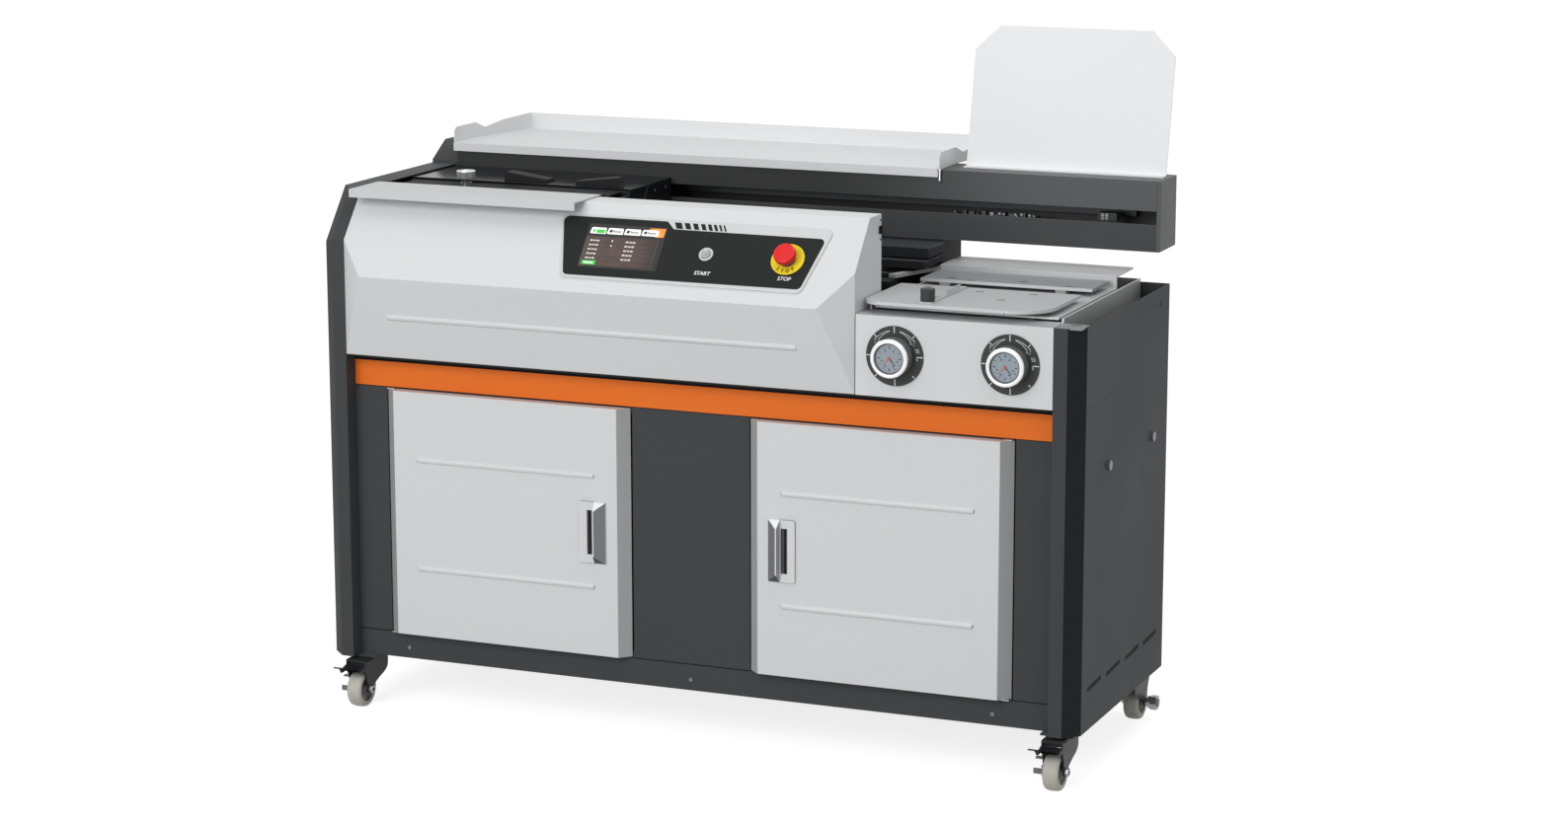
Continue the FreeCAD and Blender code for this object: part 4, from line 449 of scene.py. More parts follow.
for name, (family, colour, roughness, values) in finishValues.items():
    finishes[name] = makeFinish(name, linear(colour), roughness, **{**family, **values})
print("finishes made:", len(finishes))


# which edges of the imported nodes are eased, and the heights where a second finish starts
easing = {"smallestEdge": 12, "smallestFace": 60, "shortestNeighbour": 3.2, "turnAngle": 25,
          "gutterLow": 828, "gripLow": 991.5}


def onBevel(face):
    return abs(abs(face.normal.x) - 0.707) < 0.15 and face.normal.y < -0.2


def onGutter(face):
    return face.normal.z > 0.9 and face.calc_center_median().z > easing["gutterLow"] / 1000


def onGrip(face):
    return face.calc_center_median().z > easing["gripLow"] / 1000


# the door bevels take a darker grey than the white door paint: painted shade
secondFinish = {"left_door": (onBevel, "bevelGrey"), "right_door": (onBevel, "bevelGrey"),
                "table_fascia": (onGutter, "gutterSteel"), "carriage_casing": (onGrip, "matteBlack")}
# the chamfers of the dark panels take a darker copy of their paint: painted shade
for name in ("left_side_panel", "right_side_panel", "left_upper_panel", "right_upper_panel"):
    secondFinish[name] = (onBevel, "chamferDark")


def wantsEase(edge):
    if len(edge.link_faces) != 2 or edge.calc_length() < easing["smallestEdge"] / 1000:
        return False
    if edge.calc_face_angle(0) < math.radians(easing["turnAngle"]):
        return False
    if min(face.calc_area() for face in edge.link_faces) < easing["smallestFace"] / 1e6:
        return False
    nearby = [other.calc_length() for vert in edge.verts for other in vert.link_edges if other is not edge]
    return min(nearby) > easing["shortestNeighbour"] / 1000


def easedNode(name, finish, width):
    form = bmesh.new()
    form.from_mesh(frame["nodes"][name].data)
    bmesh.ops.remove_doubles(form, verts=form.verts, dist=1e-5)
    bmesh.ops.dissolve_limit(form, angle_limit=math.radians(0.6), verts=form.verts, edges=form.edges)
    chosen = [edge for edge in form.edges if wantsEase(edge)]
    if chosen and width:
        bmesh.ops.bevel(form, geom=chosen, offset=width / 1000, segments=2, affect="EDGES", profile=0.5,
                        clamp_overlap=True)
    chosenByFace, other = secondFinish.get(name, (None, ""))
    for face in form.faces:
        face.material_index = 1 if chosenByFace and chosenByFace(face) else 0
    finishPiece(name + "Skin", form, f"{finish} {other}", name, drawn=False)


# finish, colour slot, width of the eased edges and the nodes that are shown with them
skins = [
    ("darkPaint", "dark_panels", 0.9, "left_side_panel right_side_panel left_upper_panel right_upper_panel"),
    ("darkPaint", "dark_panels", 0.9, "base_frame"),
    ("darkPaint", "dark_panels", 0.5, "door_frame"),
    ("orangePaint", "orange_band", 0.5, "trim_band"),
    ("innerDark", "dark_panels", 0.9, "deck_plate"),
    ("darkPaint", "dark_panels", 0.5, "rear_panel"),
    ("innerDark", "dark_panels", 0.9, "rear_housing"),
    ("whitePaint", "white_panels", 0.8, "front_cover"),
    ("screenGlass", "screen", 0.4, "touch_screen"),
    ("whitePaint", "white_panels", 0.5, "table_fascia"),
    ("satinSilver", "steel", 0.5, "table_frame"),
    ("dullSteel", "steel", 0.5, "linear_rail"),
    ("traySheet", "grey_sheet", 0.5, "document_tray"),
    ("clearSheet", "clear_sheet", 0.5, "cover_platform"),
    ("motorPaint", "motor_grey", 0.5, "milling_motor"),
    ("tankCoat", "tank", 0.8, "glue_tank"),
    ("blackPlastic", "black_plastic", 0.4, "power_inlet"),
    ("innerDark", "dark_panels", 0.0, "control_box"),
    ("brushedSteel", "steel", 0.0, "door_hinge_pins"),
    ("pullGrey", "chrome", 0.0, "panel_fasteners"),
    ("whitePaint", "white_panels", 0.8, "left_door right_door"),
    ("innerDark", "black_casing", 0.5, "carriage_frame"),
    ("blackGloss", "black_casing", 0.6, "carriage_casing"),
    ("greySheet", "grey_sheet", 0.6, "book_shelf"),
    ("motorPaint", "motor_grey", 0.8, "carriage_motor"),
    ("brushedSteel", "steel", 0.0, "drive_sprocket"),
    ("jawBlack", "black_casing", 0.6, "front_jaw"),
    ("brushedSteel", "steel", 0.0, "milling_cutter glue_roller"),
    ("brushedSteel", "steel", 0.5, "left_stop_block right_stop_block"),
    ("satinSilver", "steel", 0.5, "lift_table"),
    ("greySheet", "grey_sheet", 0.6, "front_nip_plate"),
    ("dullSheet", "grey_sheet", 0.6, "rear_nip_plate"),
    ("greySheet", "grey_sheet", 0.3, "side_guide"),
    ("blackPlastic", "black_plastic", 0.0, "guide_knob"),
]
for finish, slotName, width, names in skins:
    for name in names.split():
        easedNode(name, finish, width)
print("skins made:", sum(len(names.split()) for *_, names in skins))


# control panel: silver plate, black film and bars
panel = {
    "plate": [(517, -47.5), (987, -48.5), (1020, 84.5), (484.5, 84.5)], "plateCorners": [11, 12, 11, 12],
    "film": [(520.5, -42.4), (984, -41.5), (1009, 64), (711.9, 64.9), (696, 80.3), (487.5, 80.3)],
    "filmCorners": [10, 10, 9, 2, 3, 11], "thickness": 2.5, "filmThickness": 0.35, "rim": 0.8,
    "bars": [(710, 13.2), (729, 10.5), (745.5, 9.6), (761.3, 8.2), (774.7, 7.1), (786.3, 5.8), (796.6, 4.2),
             (805.2, 3.4)],
    "barTop": 79.4, "barBottom": 66.8, "barLean": 6.6, "bezel": (545, -25, 700, 66.5),
}


def dressPanel():
    flat = slopePlace(0, 0)
    top = panel["thickness"]
    filmTop = top + panel["filmThickness"]
    plate = bmesh.new()
    outline = roundedOutline(panel["plate"], panel["plateCorners"])
    addPlate(plate, outline, 0.02, top, flat, 0, 0.5)
    addTube(plate, [(x, y, top) for x, y in outline + outline[:1]], panel["rim"] / 2, flat, 8)
    finishPiece("panelPlate", plate, "satinSilver", "control_panel", angle=30)
    film = bmesh.new()
    addPlate(film, roundedOutline(panel["film"], panel["filmCorners"]), top - 0.05, filmTop, flat)
    low, high, lean = panel["barBottom"], panel["barTop"], panel["barLean"]
    for x, width in panel["bars"]:
        bar = [(x + lean, low), (x + lean + width, low), (x + width, high), (x, high)]
        addPlate(film, bar, top - 0.05, filmTop, flat)
    finishPiece("panelFilm", film, "panelFilm", angle=30)
    well = bmesh.new()
    addPlate(well, boxOutline(*panel["bezel"]), top, top + 0.6, flat)
    finishPiece("screenBezel", well, "screenGlass", angle=30)


screenPicture = {"face": 3.5, "tabs": [(550, 32), (583.5, 32.5), (617.5, 33), (652, 34)], "tabLow": 45.5,
                 "tabHigh": 58.5, "table": (546, -21.5, 690, 39.6), "rows": 5, "rowHeight": 9.2}


def dressScreen():
    form = bmesh.new()
    flat = slopePlace(0, 0)
    face = screenPicture["face"]
    left, low, right, high = screenPicture["table"]

    def cell(x, y, toX, toY, tone, lift=0.3, sunk=0.0):
        addBlock(form, (x, y, face - sunk), (toX, toY, face + lift), flat, tone)

    cell(left, low, right, high, 0, 0.15, 0.1)
    for row in range(screenPicture["rows"]):
        base = 29.6 - screenPicture["rowHeight"] * row
        for x, lengths in ((left + 9, (6.5, 4.5, 7)), (left + 80, (7, 5, 6.5))):
            for i, length in enumerate(lengths):
                cell(x, base, x + length * 0.85, base + 2.8, 6)
                if (row + i) % 3 == 0:
                    cell(x + 1, base + 1, x + length - 2.6, base + 3.4, 6)
                x += length + 0.8
        for start, end in ((left + 42, left + 56), (left + 104, right - 3)):
            cell(start, base - 2.6, end, base - 2.1, 4, 0.25)
    for x in (left + 60, left + 1, right - 1.4):
        cell(x, low, x + 0.5, high, 5, 0.25)
    for y in (30, 20):
        cell(598, y, 600.4, y + 3, 1)
    for i, (x, width) in enumerate(screenPicture["tabs"]):
        y, end = screenPicture["tabLow"] + 0.4 * i, screenPicture["tabHigh"] + 0.2 * i
        tab = roundedOutline([(x, y), (x + width, y), (x + width - 1, end), (x + 2, end)], 1.8, 3)
        addPlate(form, tab, face - 0.1, face + 0.3, flat, 1)
        if i == 0:
            cell(x + 12.5, y + 1.4, x + width - 2.5, end - 4.4, 2, 0.45)
        else:
            tick = [(x + 4, y + 6), (x + 7, y + 9), (x + 14, y + 8.4)]
            addStroke(form, tick, 1.1, face, face + 0.45, flat, 4)
            for step in range(5):
                start = x + 12 + 3.4 * step
                cell(start, y + 4, start + 2.4, y + 7, 4, 0.45)
        addPlate(form, circleOutline(3, 16, (x + 7.5, y + 6)), face, face + 0.45, flat, 4 if i else 2)
    # warm corner and the green key under the table
    corner = [(664, 57.5), (681, 45), (697, 45.5), (697.5, 63.5), (667, 63)]
    addPlate(form, corner, face - 0.1, face + 0.2, flat, 3)
    cell(551, -19.5, 578, -11.2, 2, 0.35, 0.1)
    for step in range(4):
        cell(555 + 4.8 * step, -17.2, 558.6 + 4.8 * step, -13.6, 1, 0.5)
    tones = "screenTable screenLight screenGreen screenOrange screenGlass pullGrey screenText"
    finishPiece("screenPicture", form, tones)


def addWord(form, text, size, height, place, slant=0.0, bold=0.0):
    curve = bpy.data.curves.new("word", "FONT")
    curve.body = text
    curve.size = size
    curve.shear = slant
    curve.offset = bold
    curve.align_x = "CENTER"
    curve.align_y = "CENTER"
    curve.extrude = height / 2
    holder = addToScene("word", curve)
    bpy.context.view_layer.update()
    flat = bpy.data.meshes.new_from_object(holder.evaluated_get(bpy.context.evaluated_depsgraph_get()))
    bpy.data.objects.remove(holder)
    flat.transform(place)
    form.from_mesh(flat)
    bmesh.ops.remove_doubles(form, verts=form.verts, dist=1e-4)


words = [("startWord", "START", 791, -22.4), ("stopWord", "STOP", 949.5, -22.2)]
dressPanel()
dressScreen()
for name, text, x, up in words:
    form = bmesh.new()
    addWord(form, text, 10.5, 0.25, slopePlace(x, up, 3.0), 0.1, 0.1)
    finishPiece(name, form, "printedWhite")

stopSwitch = {"place": (946.8, 17.5), "ringRadius": 31.5, "wordRadius": 24.5, "firstTurn": -33,
              "turnStep": 23.3}
startKey = {"place": (788.5, 17)}


def dressButtons():
    place = slopePlace(*stopSwitch["place"])
    wide = stopSwitch["ringRadius"]
    ring = bmesh.new()
    plate = [(12, 2.4), (wide, 2.4), (wide, 3.6), (wide - 0.8, 4.2), (14.5, 4.6), (13.5, 6.5), (12, 6.5)]
    addTurned(ring, plate, place, 56, loop=True)
    addTurned(ring, [(11.4, 4.2), (16.2, 4.2), (15.6, 7.4), (11.4, 7.4)], place, 40, 2, True)
    finishPiece("stopRing", ring, "yellowPlastic seamBlack tabGrey")
    letters = bmesh.new()
    for i, letter in enumerate("STOP"):
        turn = zTurn(stopSwitch["firstTurn"] + stopSwitch["turnStep"] * i)
        stand = turn @ Matrix.Translation((0, -stopSwitch["wordRadius"], 4.75))
        addWord(letters, letter, 9.5, 0.3, place @ stand, 0.0, 0.15)
    finishPiece("stopRingWord", letters, "seamBlack")
    head = bmesh.new()
    addDisc(head, 11, -15, 14, place, 40, 1)
    dome = [(0, 13), (10.8, 13), (16, 14), (20, 16), (20.4, 18.5), (20.3, 25), (19.6, 26.4), (17.8, 27.3),
            (14.4, 27.6), (13.8, 27.2), (13.2, 27.8), (7, 28.1), (0, 28.2)]
    addTurned(head, dome, place, 48)
    finishPiece("stopHead", head, "redPlastic seamBlack", "emergency_stop")
    place = slopePlace(*startKey["place"])
    bezel = bmesh.new()
    hoop = [(9.3, 2.4), (13.6, 2.4), (13.6, 4.2), (12.8, 5), (10.4, 5.2), (9.3, 4.4)]
    addTurned(bezel, hoop, place, 44, loop=True)
    finishPiece("startBezel", bezel, "satinSilver")
    cap = bmesh.new()
    key = [(0, -12), (9, -12), (9, 5.6), (8.6, 6.3), (7.6, 6.5), (6.9, 6), (3, 5.8), (0, 5.8)]
    addTurned(cap, key, place)
    finishPiece("startCap", cap, "turnedSteel", "start_button")


dressButtons()
print("control panel dressed")


# adjusting dials on the fascia
dial = {"places": {"left": 1155, "right": 1369.5}, "z": 765, "ribs": 40, "rim": 34.9, "ribDepth": 1,
        "hands": [(222, 17.5, 5), (-48, 16.5, 3)]}


def curvedArrow(form, place, way):
    # an outlined crescent that opens from its tip to its head
    outer = [atTurn(46, 78 - 3.8 * i) for i in range(11)]
    inner = [atTurn(45.1 - 0.45 * i, 78 - 3.8 * i) for i in range(11)]
    head = [inner[-1], atTurn(37.6, 41.5), atTurn(42.4, 29), atTurn(48.8, 41), outer[-1]]
    for points in (outer, inner, head):
        addStroke(form, [(way * x, y) for x, y in points], 0.6, 1.9, 2.3, place, 1)


def dressDial(side):
    place = frontPlace(dial["places"][side], 0, dial["z"])
    disc = bmesh.new()
    addTurned(disc, [(7, 0), (54, 0), (54, 1.4), (53.4, 2), (7, 2)], place, 72, loop=True)
    for turn in range(0, 360, 45):
        inner, wide = (47.5, 1.1) if turn % 90 else (41.5, 1.3)
        addStroke(disc, [atTurn(inner, turn + 1), atTurn(53, turn + 1)], wide, 1.9, 2.35, place, 1)
    for way in (1, -1):
        curvedArrow(disc, place, way)
    for x, y, high in ((39.5, 9, 6), (43.5, 9, 6), (41, -5.5, 4)):  # small figures of the scale
        figure = [(1.8, high), (0, high), (0, high / 2), (2, high / 2), (2, 0), (0, 0)]
        addStroke(disc, [(x + darkerEndRamp, y + up) for darkerEndRamp, up in figure], 0.7, 1.9, 2.3, place, 1)
    finishPiece(side + "DialDisc", disc, "blackPlastic printedWhite")

    knob = bmesh.new()
    rim = dial["rim"]
    addPlate(knob, knurledOutline(rim, dial["ribDepth"], dial["ribs"]), 2.6, 27.6, place, 0, 0.4)
    addTurned(knob, [(0, 2.6), (6, 2.6), (6, -32), (5, -32), (5, -160), (0, -160)], place, 28, 4)
    bright = [(27.4, 27.5), (rim, 27.5), (rim + 0.2, 29.5), (34.6, 31.6), (33, 33.2), (31, 34), (29.4, 33.8),
              (28, 32.8), (27.4, 31)]
    addTurned(knob, bright, place, 64, 1, True)
    # the ring's inner wall takes a darker grey than the white ring: painted shade in the bore
    addTurned(knob, [(25.6, 27), (27.6, 27), (27.6, 32.4), (25.6, 29.6)], place, 56, 6, True)
    addDisc(knob, 26.2, 25, 28, place, 56, 2)
    for i in range(12):
        inner, wide = (19, 0.9) if i % 3 else (17.5, 1.5)
        addStroke(knob, [atTurn(inner, 30 * i), atTurn(22.4, 30 * i)], wide, 27.9, 28.25, place, 3)
    for turn in (60, 120, 198, -18, 240, 300):
        addPlate(knob, circleOutline(1.35, 12, atTurn(15.2, turn)), 27.9, 28.25, place, 3)
    for turn, length, tone in dial["hands"]:
        hand = [(-3, -0.8), (length, -0.35), (length, 0.35), (-3, 0.8)]
        addPlate(knob, hand, 28.4, 28.9, place @ zTurn(turn), tone)
    addTurned(knob, [(0, 28), (1.9, 28), (1.9, 29.4), (1.4, 30), (0, 30)], place, 20, 5)
    tones = "tabGrey ringWhite gaugeFace panelFilm brushedSteel needleOrange pullGrey"
    finishPiece(side + "DialKnob", knob, tones, side + "_adjusting_knob")


dressDial("left")
dressDial("right")
print("dials dressed")


# door handles: thin plate, finger slot, hipped ridge at the free edge
handle = {"width": 52, "height": 116, "z": 330, "base": 3, "rise": 13, "places": {"left": 531, "right": 908}}


def dressHandle(side):
    place = frontPlace(handle["places"][side], 13.5, handle["z"])
    width, height, base = handle["width"], handle["height"], handle["base"]
    if side == "right":
        place = place @ Matrix.Translation((width, 0, 0)) @ Matrix.Scale(-1, 4, (1, 0, 0))
    form = bmesh.new()
    outer = roundedOutline(boxOutline(0, 0, 29.5, height), [3, 0.02, 0.02, 3])
    inner = roundedOutline(boxOutline(14.5, 16, 27.5, height - 16), 0.02)
    # the plate's outer side faces take the dark finish: painted shade
    for face in addHoledPlate(form, outer, inner, 0, base, place)[:len(outer)]:
        face.material_index = 2
    # hipped ridge, its line nearer the slot than the edge
    foot, crest = boxOutline(29, 0, width, height), boxOutline(31.5, 15, 33, height - 15)
    rings = stackRings(form, [(foot, 0), (foot, base), (crest, base + handle["rise"])], place)
    ringFaces(form, rings[:2], 0)
    # the ridge's faces are coloured by which way they face: painted highlight on the top and crest, painted
    # shade underneath and on the slot side
    for face, tone in zip(ringFaces(form, rings[1:], 1), (2, 1, 3, 4)):
        face.material_index = tone
    form.faces.new(rings[2]).material_index = 3
    form.faces.new(rings[0][::-1])
    # finger pocket: flat black and dark strips paint the shade of its recess, with a grey line along its left
    # side
    addBlock(form, (14.5, 16, 0.1), (21, height - 16, 0.5), place, 5)
    addBlock(form, (21, 16, 0.1), (27.5, height - 16, 0.9), place, 2)
    addTube(form, [(16.6, 18, 1), (16.6, height - 18, 1)], 0.6, place, 8, 1)
    # white line along the plate's outer edge: painted highlight
    addTube(form, [(0.4, 1, base), (0.4, height - 1, base)], 0.4, place, 8, 3)
    tones = "satinSilver pullGrey pullDark ringWhite bevelGrey seamBlack"
    finishPiece(side + "DoorPull", form, tones, side + "_door_handle", angle=20, soften=0.4)


dressHandle("left")
dressHandle("right")
print("door handles dressed")


# beam: folded channel with a long slot, bevelled bracket at its left end, plate at its right
beam = {"front": 457, "back": 557, "low": 903, "high": 1034, "wall": 4, "slot": (953, 978), "slotEnd": 1492,
        "bracket": 56, "bevelHigh": 34, "bevelDeep": 55}


def dressBeam():
    form = bmesh.new()
    front, back, low, high, end = (beam[n] for n in ("front", "back", "low", "high", "slotEnd"))
    slotLow, slotHigh = beam["slot"]
    side = rightPlace(0, 0, 0)
    wall = beam["wall"]
    outside = [(front, slotHigh), (front, high), (back, high), (back, low), (front, low), (front, slotLow)]
    inside = [(front + wall, slotLow), (front + wall, low + wall), (back - wall, low + wall),
              (back - wall, high - wall), (front + wall, high - wall), (front + wall, slotHigh)]
    addPlate(form, outside + inside, beam["bracket"], end, side)
    addPlate(form, boxOutline(front, low, back, high), end, 1500, side)
    bevel = [(front + beam["bevelDeep"], high), (front, high - beam["bevelHigh"])]
    addPlate(form, [(front, low), (back, low), (back, high)] + bevel, 0, beam["bracket"], side)
    # front faces below the slot take the darker copy of the paint: painted shade
    for face in form.faces:
        middle = face.calc_center_median()
        if middle.y < front + 1 and middle.z < slotLow:
            face.material_index = 1
    finishPiece("beamShell", form, "beamPaint beamShade", "guide_beam", soften=0.7)
    lines = bmesh.new()  # light line where the folded sheet is closed along its foot
    addBlock(lines, (60, front - 0.5, low - 0.2), (1498, front + 0.6, low + 1.1))
    finishPiece("beamFootLine", lines, "dullSteel")


chain = {"start": 62, "end": 1494, "pitch": 12.7, "y": 471, "z": 945,
         "studs": [(1094, 953.6, 2.6), (1190, 953.8, 2.8), (1250, 953.4, 2.6)]}


def dressChain():
    form = bmesh.new()
    half = chain["pitch"] / 2
    link = roundedOutline(boxOutline(-half - 3, -3.6, half + 3, 3.6), 3.4, 3)
    for i in range(int((chain["end"] - chain["start"]) / chain["pitch"])):
        place = frontPlace(chain["start"] + (i + 0.5) * chain["pitch"], chain["y"], chain["z"])
        spread = 3.2 if i % 2 else 4.6
        for side in (-spread, spread):
            addPlate(form, link, side - 0.6, side + 0.6, place)
        addDisc(form, 2.4, -4.9, 4.9, place @ Matrix.Translation((half, 0, 0)), 8)
    finishPiece("rollerChain", form, "dullSteel", "drive_chain")


def dressSlot():
    # bearing blocks, a tensioner and a plug that show through the slot
    form = bmesh.new()
    for x, z, size in chain["studs"]:
        addTurned(form, [(0, 0), (size, 0), (size, 5), (size * 0.7, 6), (0, 6)], frontPlace(x, 482, z), 12)
    addBlock(form, (1080, 484, 944), (1262, 500, 948), tone=1)
    for i in range(13):
        x = 1092 + 13 * i
        high = 951.5 + 2.4 * (i * 2 % 3)
        addBlock(form, (x + 3 * (i % 2), 485 + i % 3, 947), (x + 6 + 2 * (i % 3), 499, high),
                 tone=0 if i in (5, 9) else 1, rim=0.6)
    for x, z in ((1180, 953.2), (1211, 953), (1223, 953.6), (1239, 952.8)):
        screw = [(0, 0), (2.8, 0), (2.8, 2), (1.5, 2), (1.5, 3.4), (0, 3.4)]
        addTurned(form, screw, frontPlace(x, 485, z), 16)
    addBlock(form, (1374, 478, 953), (1410, 500, 968), tone=2, rim=1.2)
    for x in (1383, 1391):
        for z in (957, 963.5):
            addRing(form, 1.6, 2.6, 0, 1.4, frontPlace(x, 478, z), 12)
    finishPiece("slotHardware", form, "brushedSteel dullSteel blackPlastic")


dressBeam()
dressChain()
dressSlot()
print("beam and chain dressed")


# clamp knob on the carriage: knurled cap on a neck
knobShape = {"place": (190, 236, 0), "base": 988.3, "cap": 1000, "top": 1015, "radius": 18, "neck": 10,
             "stem": 5, "flutes": 26}


def dressKnob():
    form = bmesh.new()
    place = Matrix.Translation(knobShape["place"])
    base, cap, top, radius, neck = (knobShape[n] for n in ("base", "cap", "top", "radius", "neck"))
    stem = knobShape["stem"]
    addPlate(form, knurledOutline(radius, 0.9, knobShape["flutes"]), cap, top - 1.2, place, 1)
    lid = [(0, top - 1.4), (radius, top - 1.4), (radius - 0.4, top - 0.4), (radius - 1.6, top), (6, top),
           (5.4, top - 0.8), (0, top - 0.8)]
    addTurned(form, lid, place, 48)
    shank = [(0, 982.2), (stem, 982.2), (stem, base), (neck, base), (neck, 992), (8.4, 993), (8.4, 998),
             (10, cap + 0.5), (0, cap + 0.5)]
    addTurned(form, shank, place)
    finishPiece("clampKnob", form, "chromePlate brightZinc", "clamp_knob")


def dressCarriage():
    # stiffener folded out of the dark right end wall, with two screws
    form = bmesh.new()
    addPlate(form, [(300, 931), (303, 931), (350, 989), (347, 989)], 519.8, 520.6, rightPlace(0, 0, 0))
    for y, z in ((380, 975), (430, 975)):
        addTurned(form, [(0, 0), (3.2, 0), (2.8, 1.2), (0, 1.4)], rightPlace(520, y, z), 16)
    finishPiece("casingStiffener", form, "dullSteel", body="carriage")


dressKnob()
dressCarriage()
print("carriage dressed")


# clamping table: slots in its plates, then the spine unit and its arm beside it
table = {"frontSlots": [(1140, 205), (1245, 190), (1345, 196), (1310, 120)],
         "rearSlots": [(1150, 312), (1190, 300), (1285, 322), (1376, 306)]}


def plateSlots(places):
    form = bmesh.new()
    # each slot is a flat black patch standing for its opening: painted shade
    for x, y in places:
        addPlate(form, roundedOutline(boxOutline(x - 8, y - 1.7, x + 8, y + 1.7), 1.6, 4), 855.95, 856.2)
    return form


def dressTable():
    form = plateSlots(table["frontSlots"])
    finishPiece("frontPlateSlots", form, "seamBlack", body="front_nip_plate")
    form = plateSlots(table["rearSlots"])
    addBlock(form, (1094, 291.6, 850.6), (1424, 292.6, 856.2), tone=1)  # painted highlight along the rear plate's front edge
    finishPiece("rearPlateSlots", form, "seamBlack satinSilver", body="rear_nip_plate")
    form = bmesh.new()
    addBlock(form, (1094, 399, 862), (1436, 400.4, 865.4))
    finishPiece("deckEdge", form, "satinSilver", body="lift_table")


spine = {"left": 960, "right": 1081, "front": 350, "back": 457, "housings": [(862, 876, 0), (879, 898, 20)]}


def dressSpineUnit():
    # stacked dark housings with light edges
    form = bmesh.new()
    left, right, front, back = (spine[n] for n in ("left", "right", "front", "back"))
    for low, high, setback in spine["housings"]:
        addBlock(form, (left, front + setback, low), (right, back, high), rim=0.6)
        addBlock(form, (left, front + setback - 0.3, high - 0.9), (right + 0.3, back, high + 0.1), tone=1)
    addBlock(form, (992, 286, 830), (1036, 326, 846), rim=0.8)
    # arm that reaches from the unit towards the gutter
    arm = [(1022, 318), (1036, 314), (1081, 432), (1081, 452), (1072, 452)]
    addPlate(form, arm, 848, 855, tone=2, rim=0.6)
    addPlate(form, [(985, 372), (1040, 372), (1064, 446), (985, 446)], 846, 849, tone=2)
    finishPiece("spineUnit", form, "innerDark dullSteel greySheet")


vents = {"count": 4, "start": 60, "pitch": 114, "length": 82, "low": 171.4, "high": 179.6, "rise": 4}


def dressSides():
    # slanted vents, seam shadows, corner cap, tray pin and cover latch
    form = bmesh.new()
    low, high, rise = vents["low"], vents["high"], vents["rise"]
    # each vent is a flat black patch standing for its opening: painted shade
    for i in range(vents["count"]):
        start = vents["start"] + vents["pitch"] * i
        end = start + vents["length"]
        slot = [(start, low), (end, low + rise), (end, high + rise), (start, high)]
        addPlate(form, roundedOutline(slot, 3.4, 4), 0, 0.25, rightPlace(1500, 0, 0))
        addPlate(form, roundedOutline([(-y, z) for y, z in slot[::-1]], 3.4, 4), 0, 0.25, leftPlace(0, 0, 0))
    for left, right in ((53, 122), (627, 864), (1369, 1447)):
        addBlock(form, (left, 33.75, 149.2), (right, 34.2, 150.9))
    for level in (625.4, 674.6):
        addBlock(form, (53, 33.75, level), (1447, 34.2, level + 1.3))
    for x in (122.2, 1368.2):
        addBlock(form, (x - 0.4, 33.7, 152), (x + 0.9, 34.2, 624))
    finishPiece("seamsAndVents", form, "seamBlack")
    form = bmesh.new()
    addBlock(form, (1449, 3, 833), (1497, 52, 835))
    # the cap's slot is a flat black patch standing for its opening: painted shade
    addPlate(form, roundedOutline(boxOutline(1466, 37, 1486, 41), 1.9, 4), 834.9, 835.2, tone=1)
    addBlock(form, (1078.3, 118, 961), (1081.5, 130, 975), tone=1, rim=1)
    for z in (950, 985):
        addTurned(form, [(0, 0), (2, 0), (1.8, 1), (0, 1)], rightPlace(1078.4, 126, z), 12, 1)
    pin = Matrix.Translation((1071, 451.6, 0))
    addTurned(form, [(0, 1013), (2.6, 1013), (3.1, 1014.5), (3.1, 1034), (0, 1034)], pin, 20, 2)
    addTurned(form, [(0, 1033), (4.4, 1033), (4.4, 1036), (0, 1036.6)], pin, 20, 2)
    finishPiece("smallFittings", form, "dullSheet seamBlack chromePlate")


dressTable()
dressSpineUnit()
dressSides()
print("table and sides dressed")


# casters: drawn with the kingpin at the middle and the wheel towards minus y
casterPlaces = {"front_left": (60, 50, 0), "front_right": (1458, 50, 0), "rear_left": (60, 465, 0),
                "rear_right": (1458, 465, 0)}
caster = {"trail": 35, "radius": 35, "cheek": 17, "outer": 20, "top": 95.7, "ahead": 57, "behind": 36,
          "pedalPin": (0, -53, 80)}


def casterPlace(corner):
    stand = Matrix.Translation(casterPlaces[corner])
    return stand if corner.startswith("front") else stand @ zTurn(180)


def dressWheel(corner):
    place = casterPlace(corner) @ rightPlace(0, -caster["trail"], caster["radius"])
    form = bmesh.new()
    tyre = [(24, 13.6), (28, 14.9), (31, 14.3), (33.4, 12.2), (34.7, 8), (35, 3)]
    hub = [(4.2, 14.4), (9, 14.4), (10, 12.5), (12, 12), (13, 10.4), (21, 10.4), (24.6, 13.2)]
    for tone, half in enumerate((tyre, hub)):
        addTurned(form, [(r, -h) for r, h in half] + half[::-1], place, 56, tone, True)
    for i in range(5):
        for low in (10, -11.6):
            addBlock(form, (12, -1.4, low), (22, 1.4, low + 1.6), place @ zTurn(72 * i), 1)
    for end in (-1, 1):
        addRing(form, 4.3, 8, end * 14.2, end * 15.4, place, 32, 2)
    finishPiece(corner + "_castorWheel", form, "tyreGrey hubGrey brightZinc", corner + "_wheel")


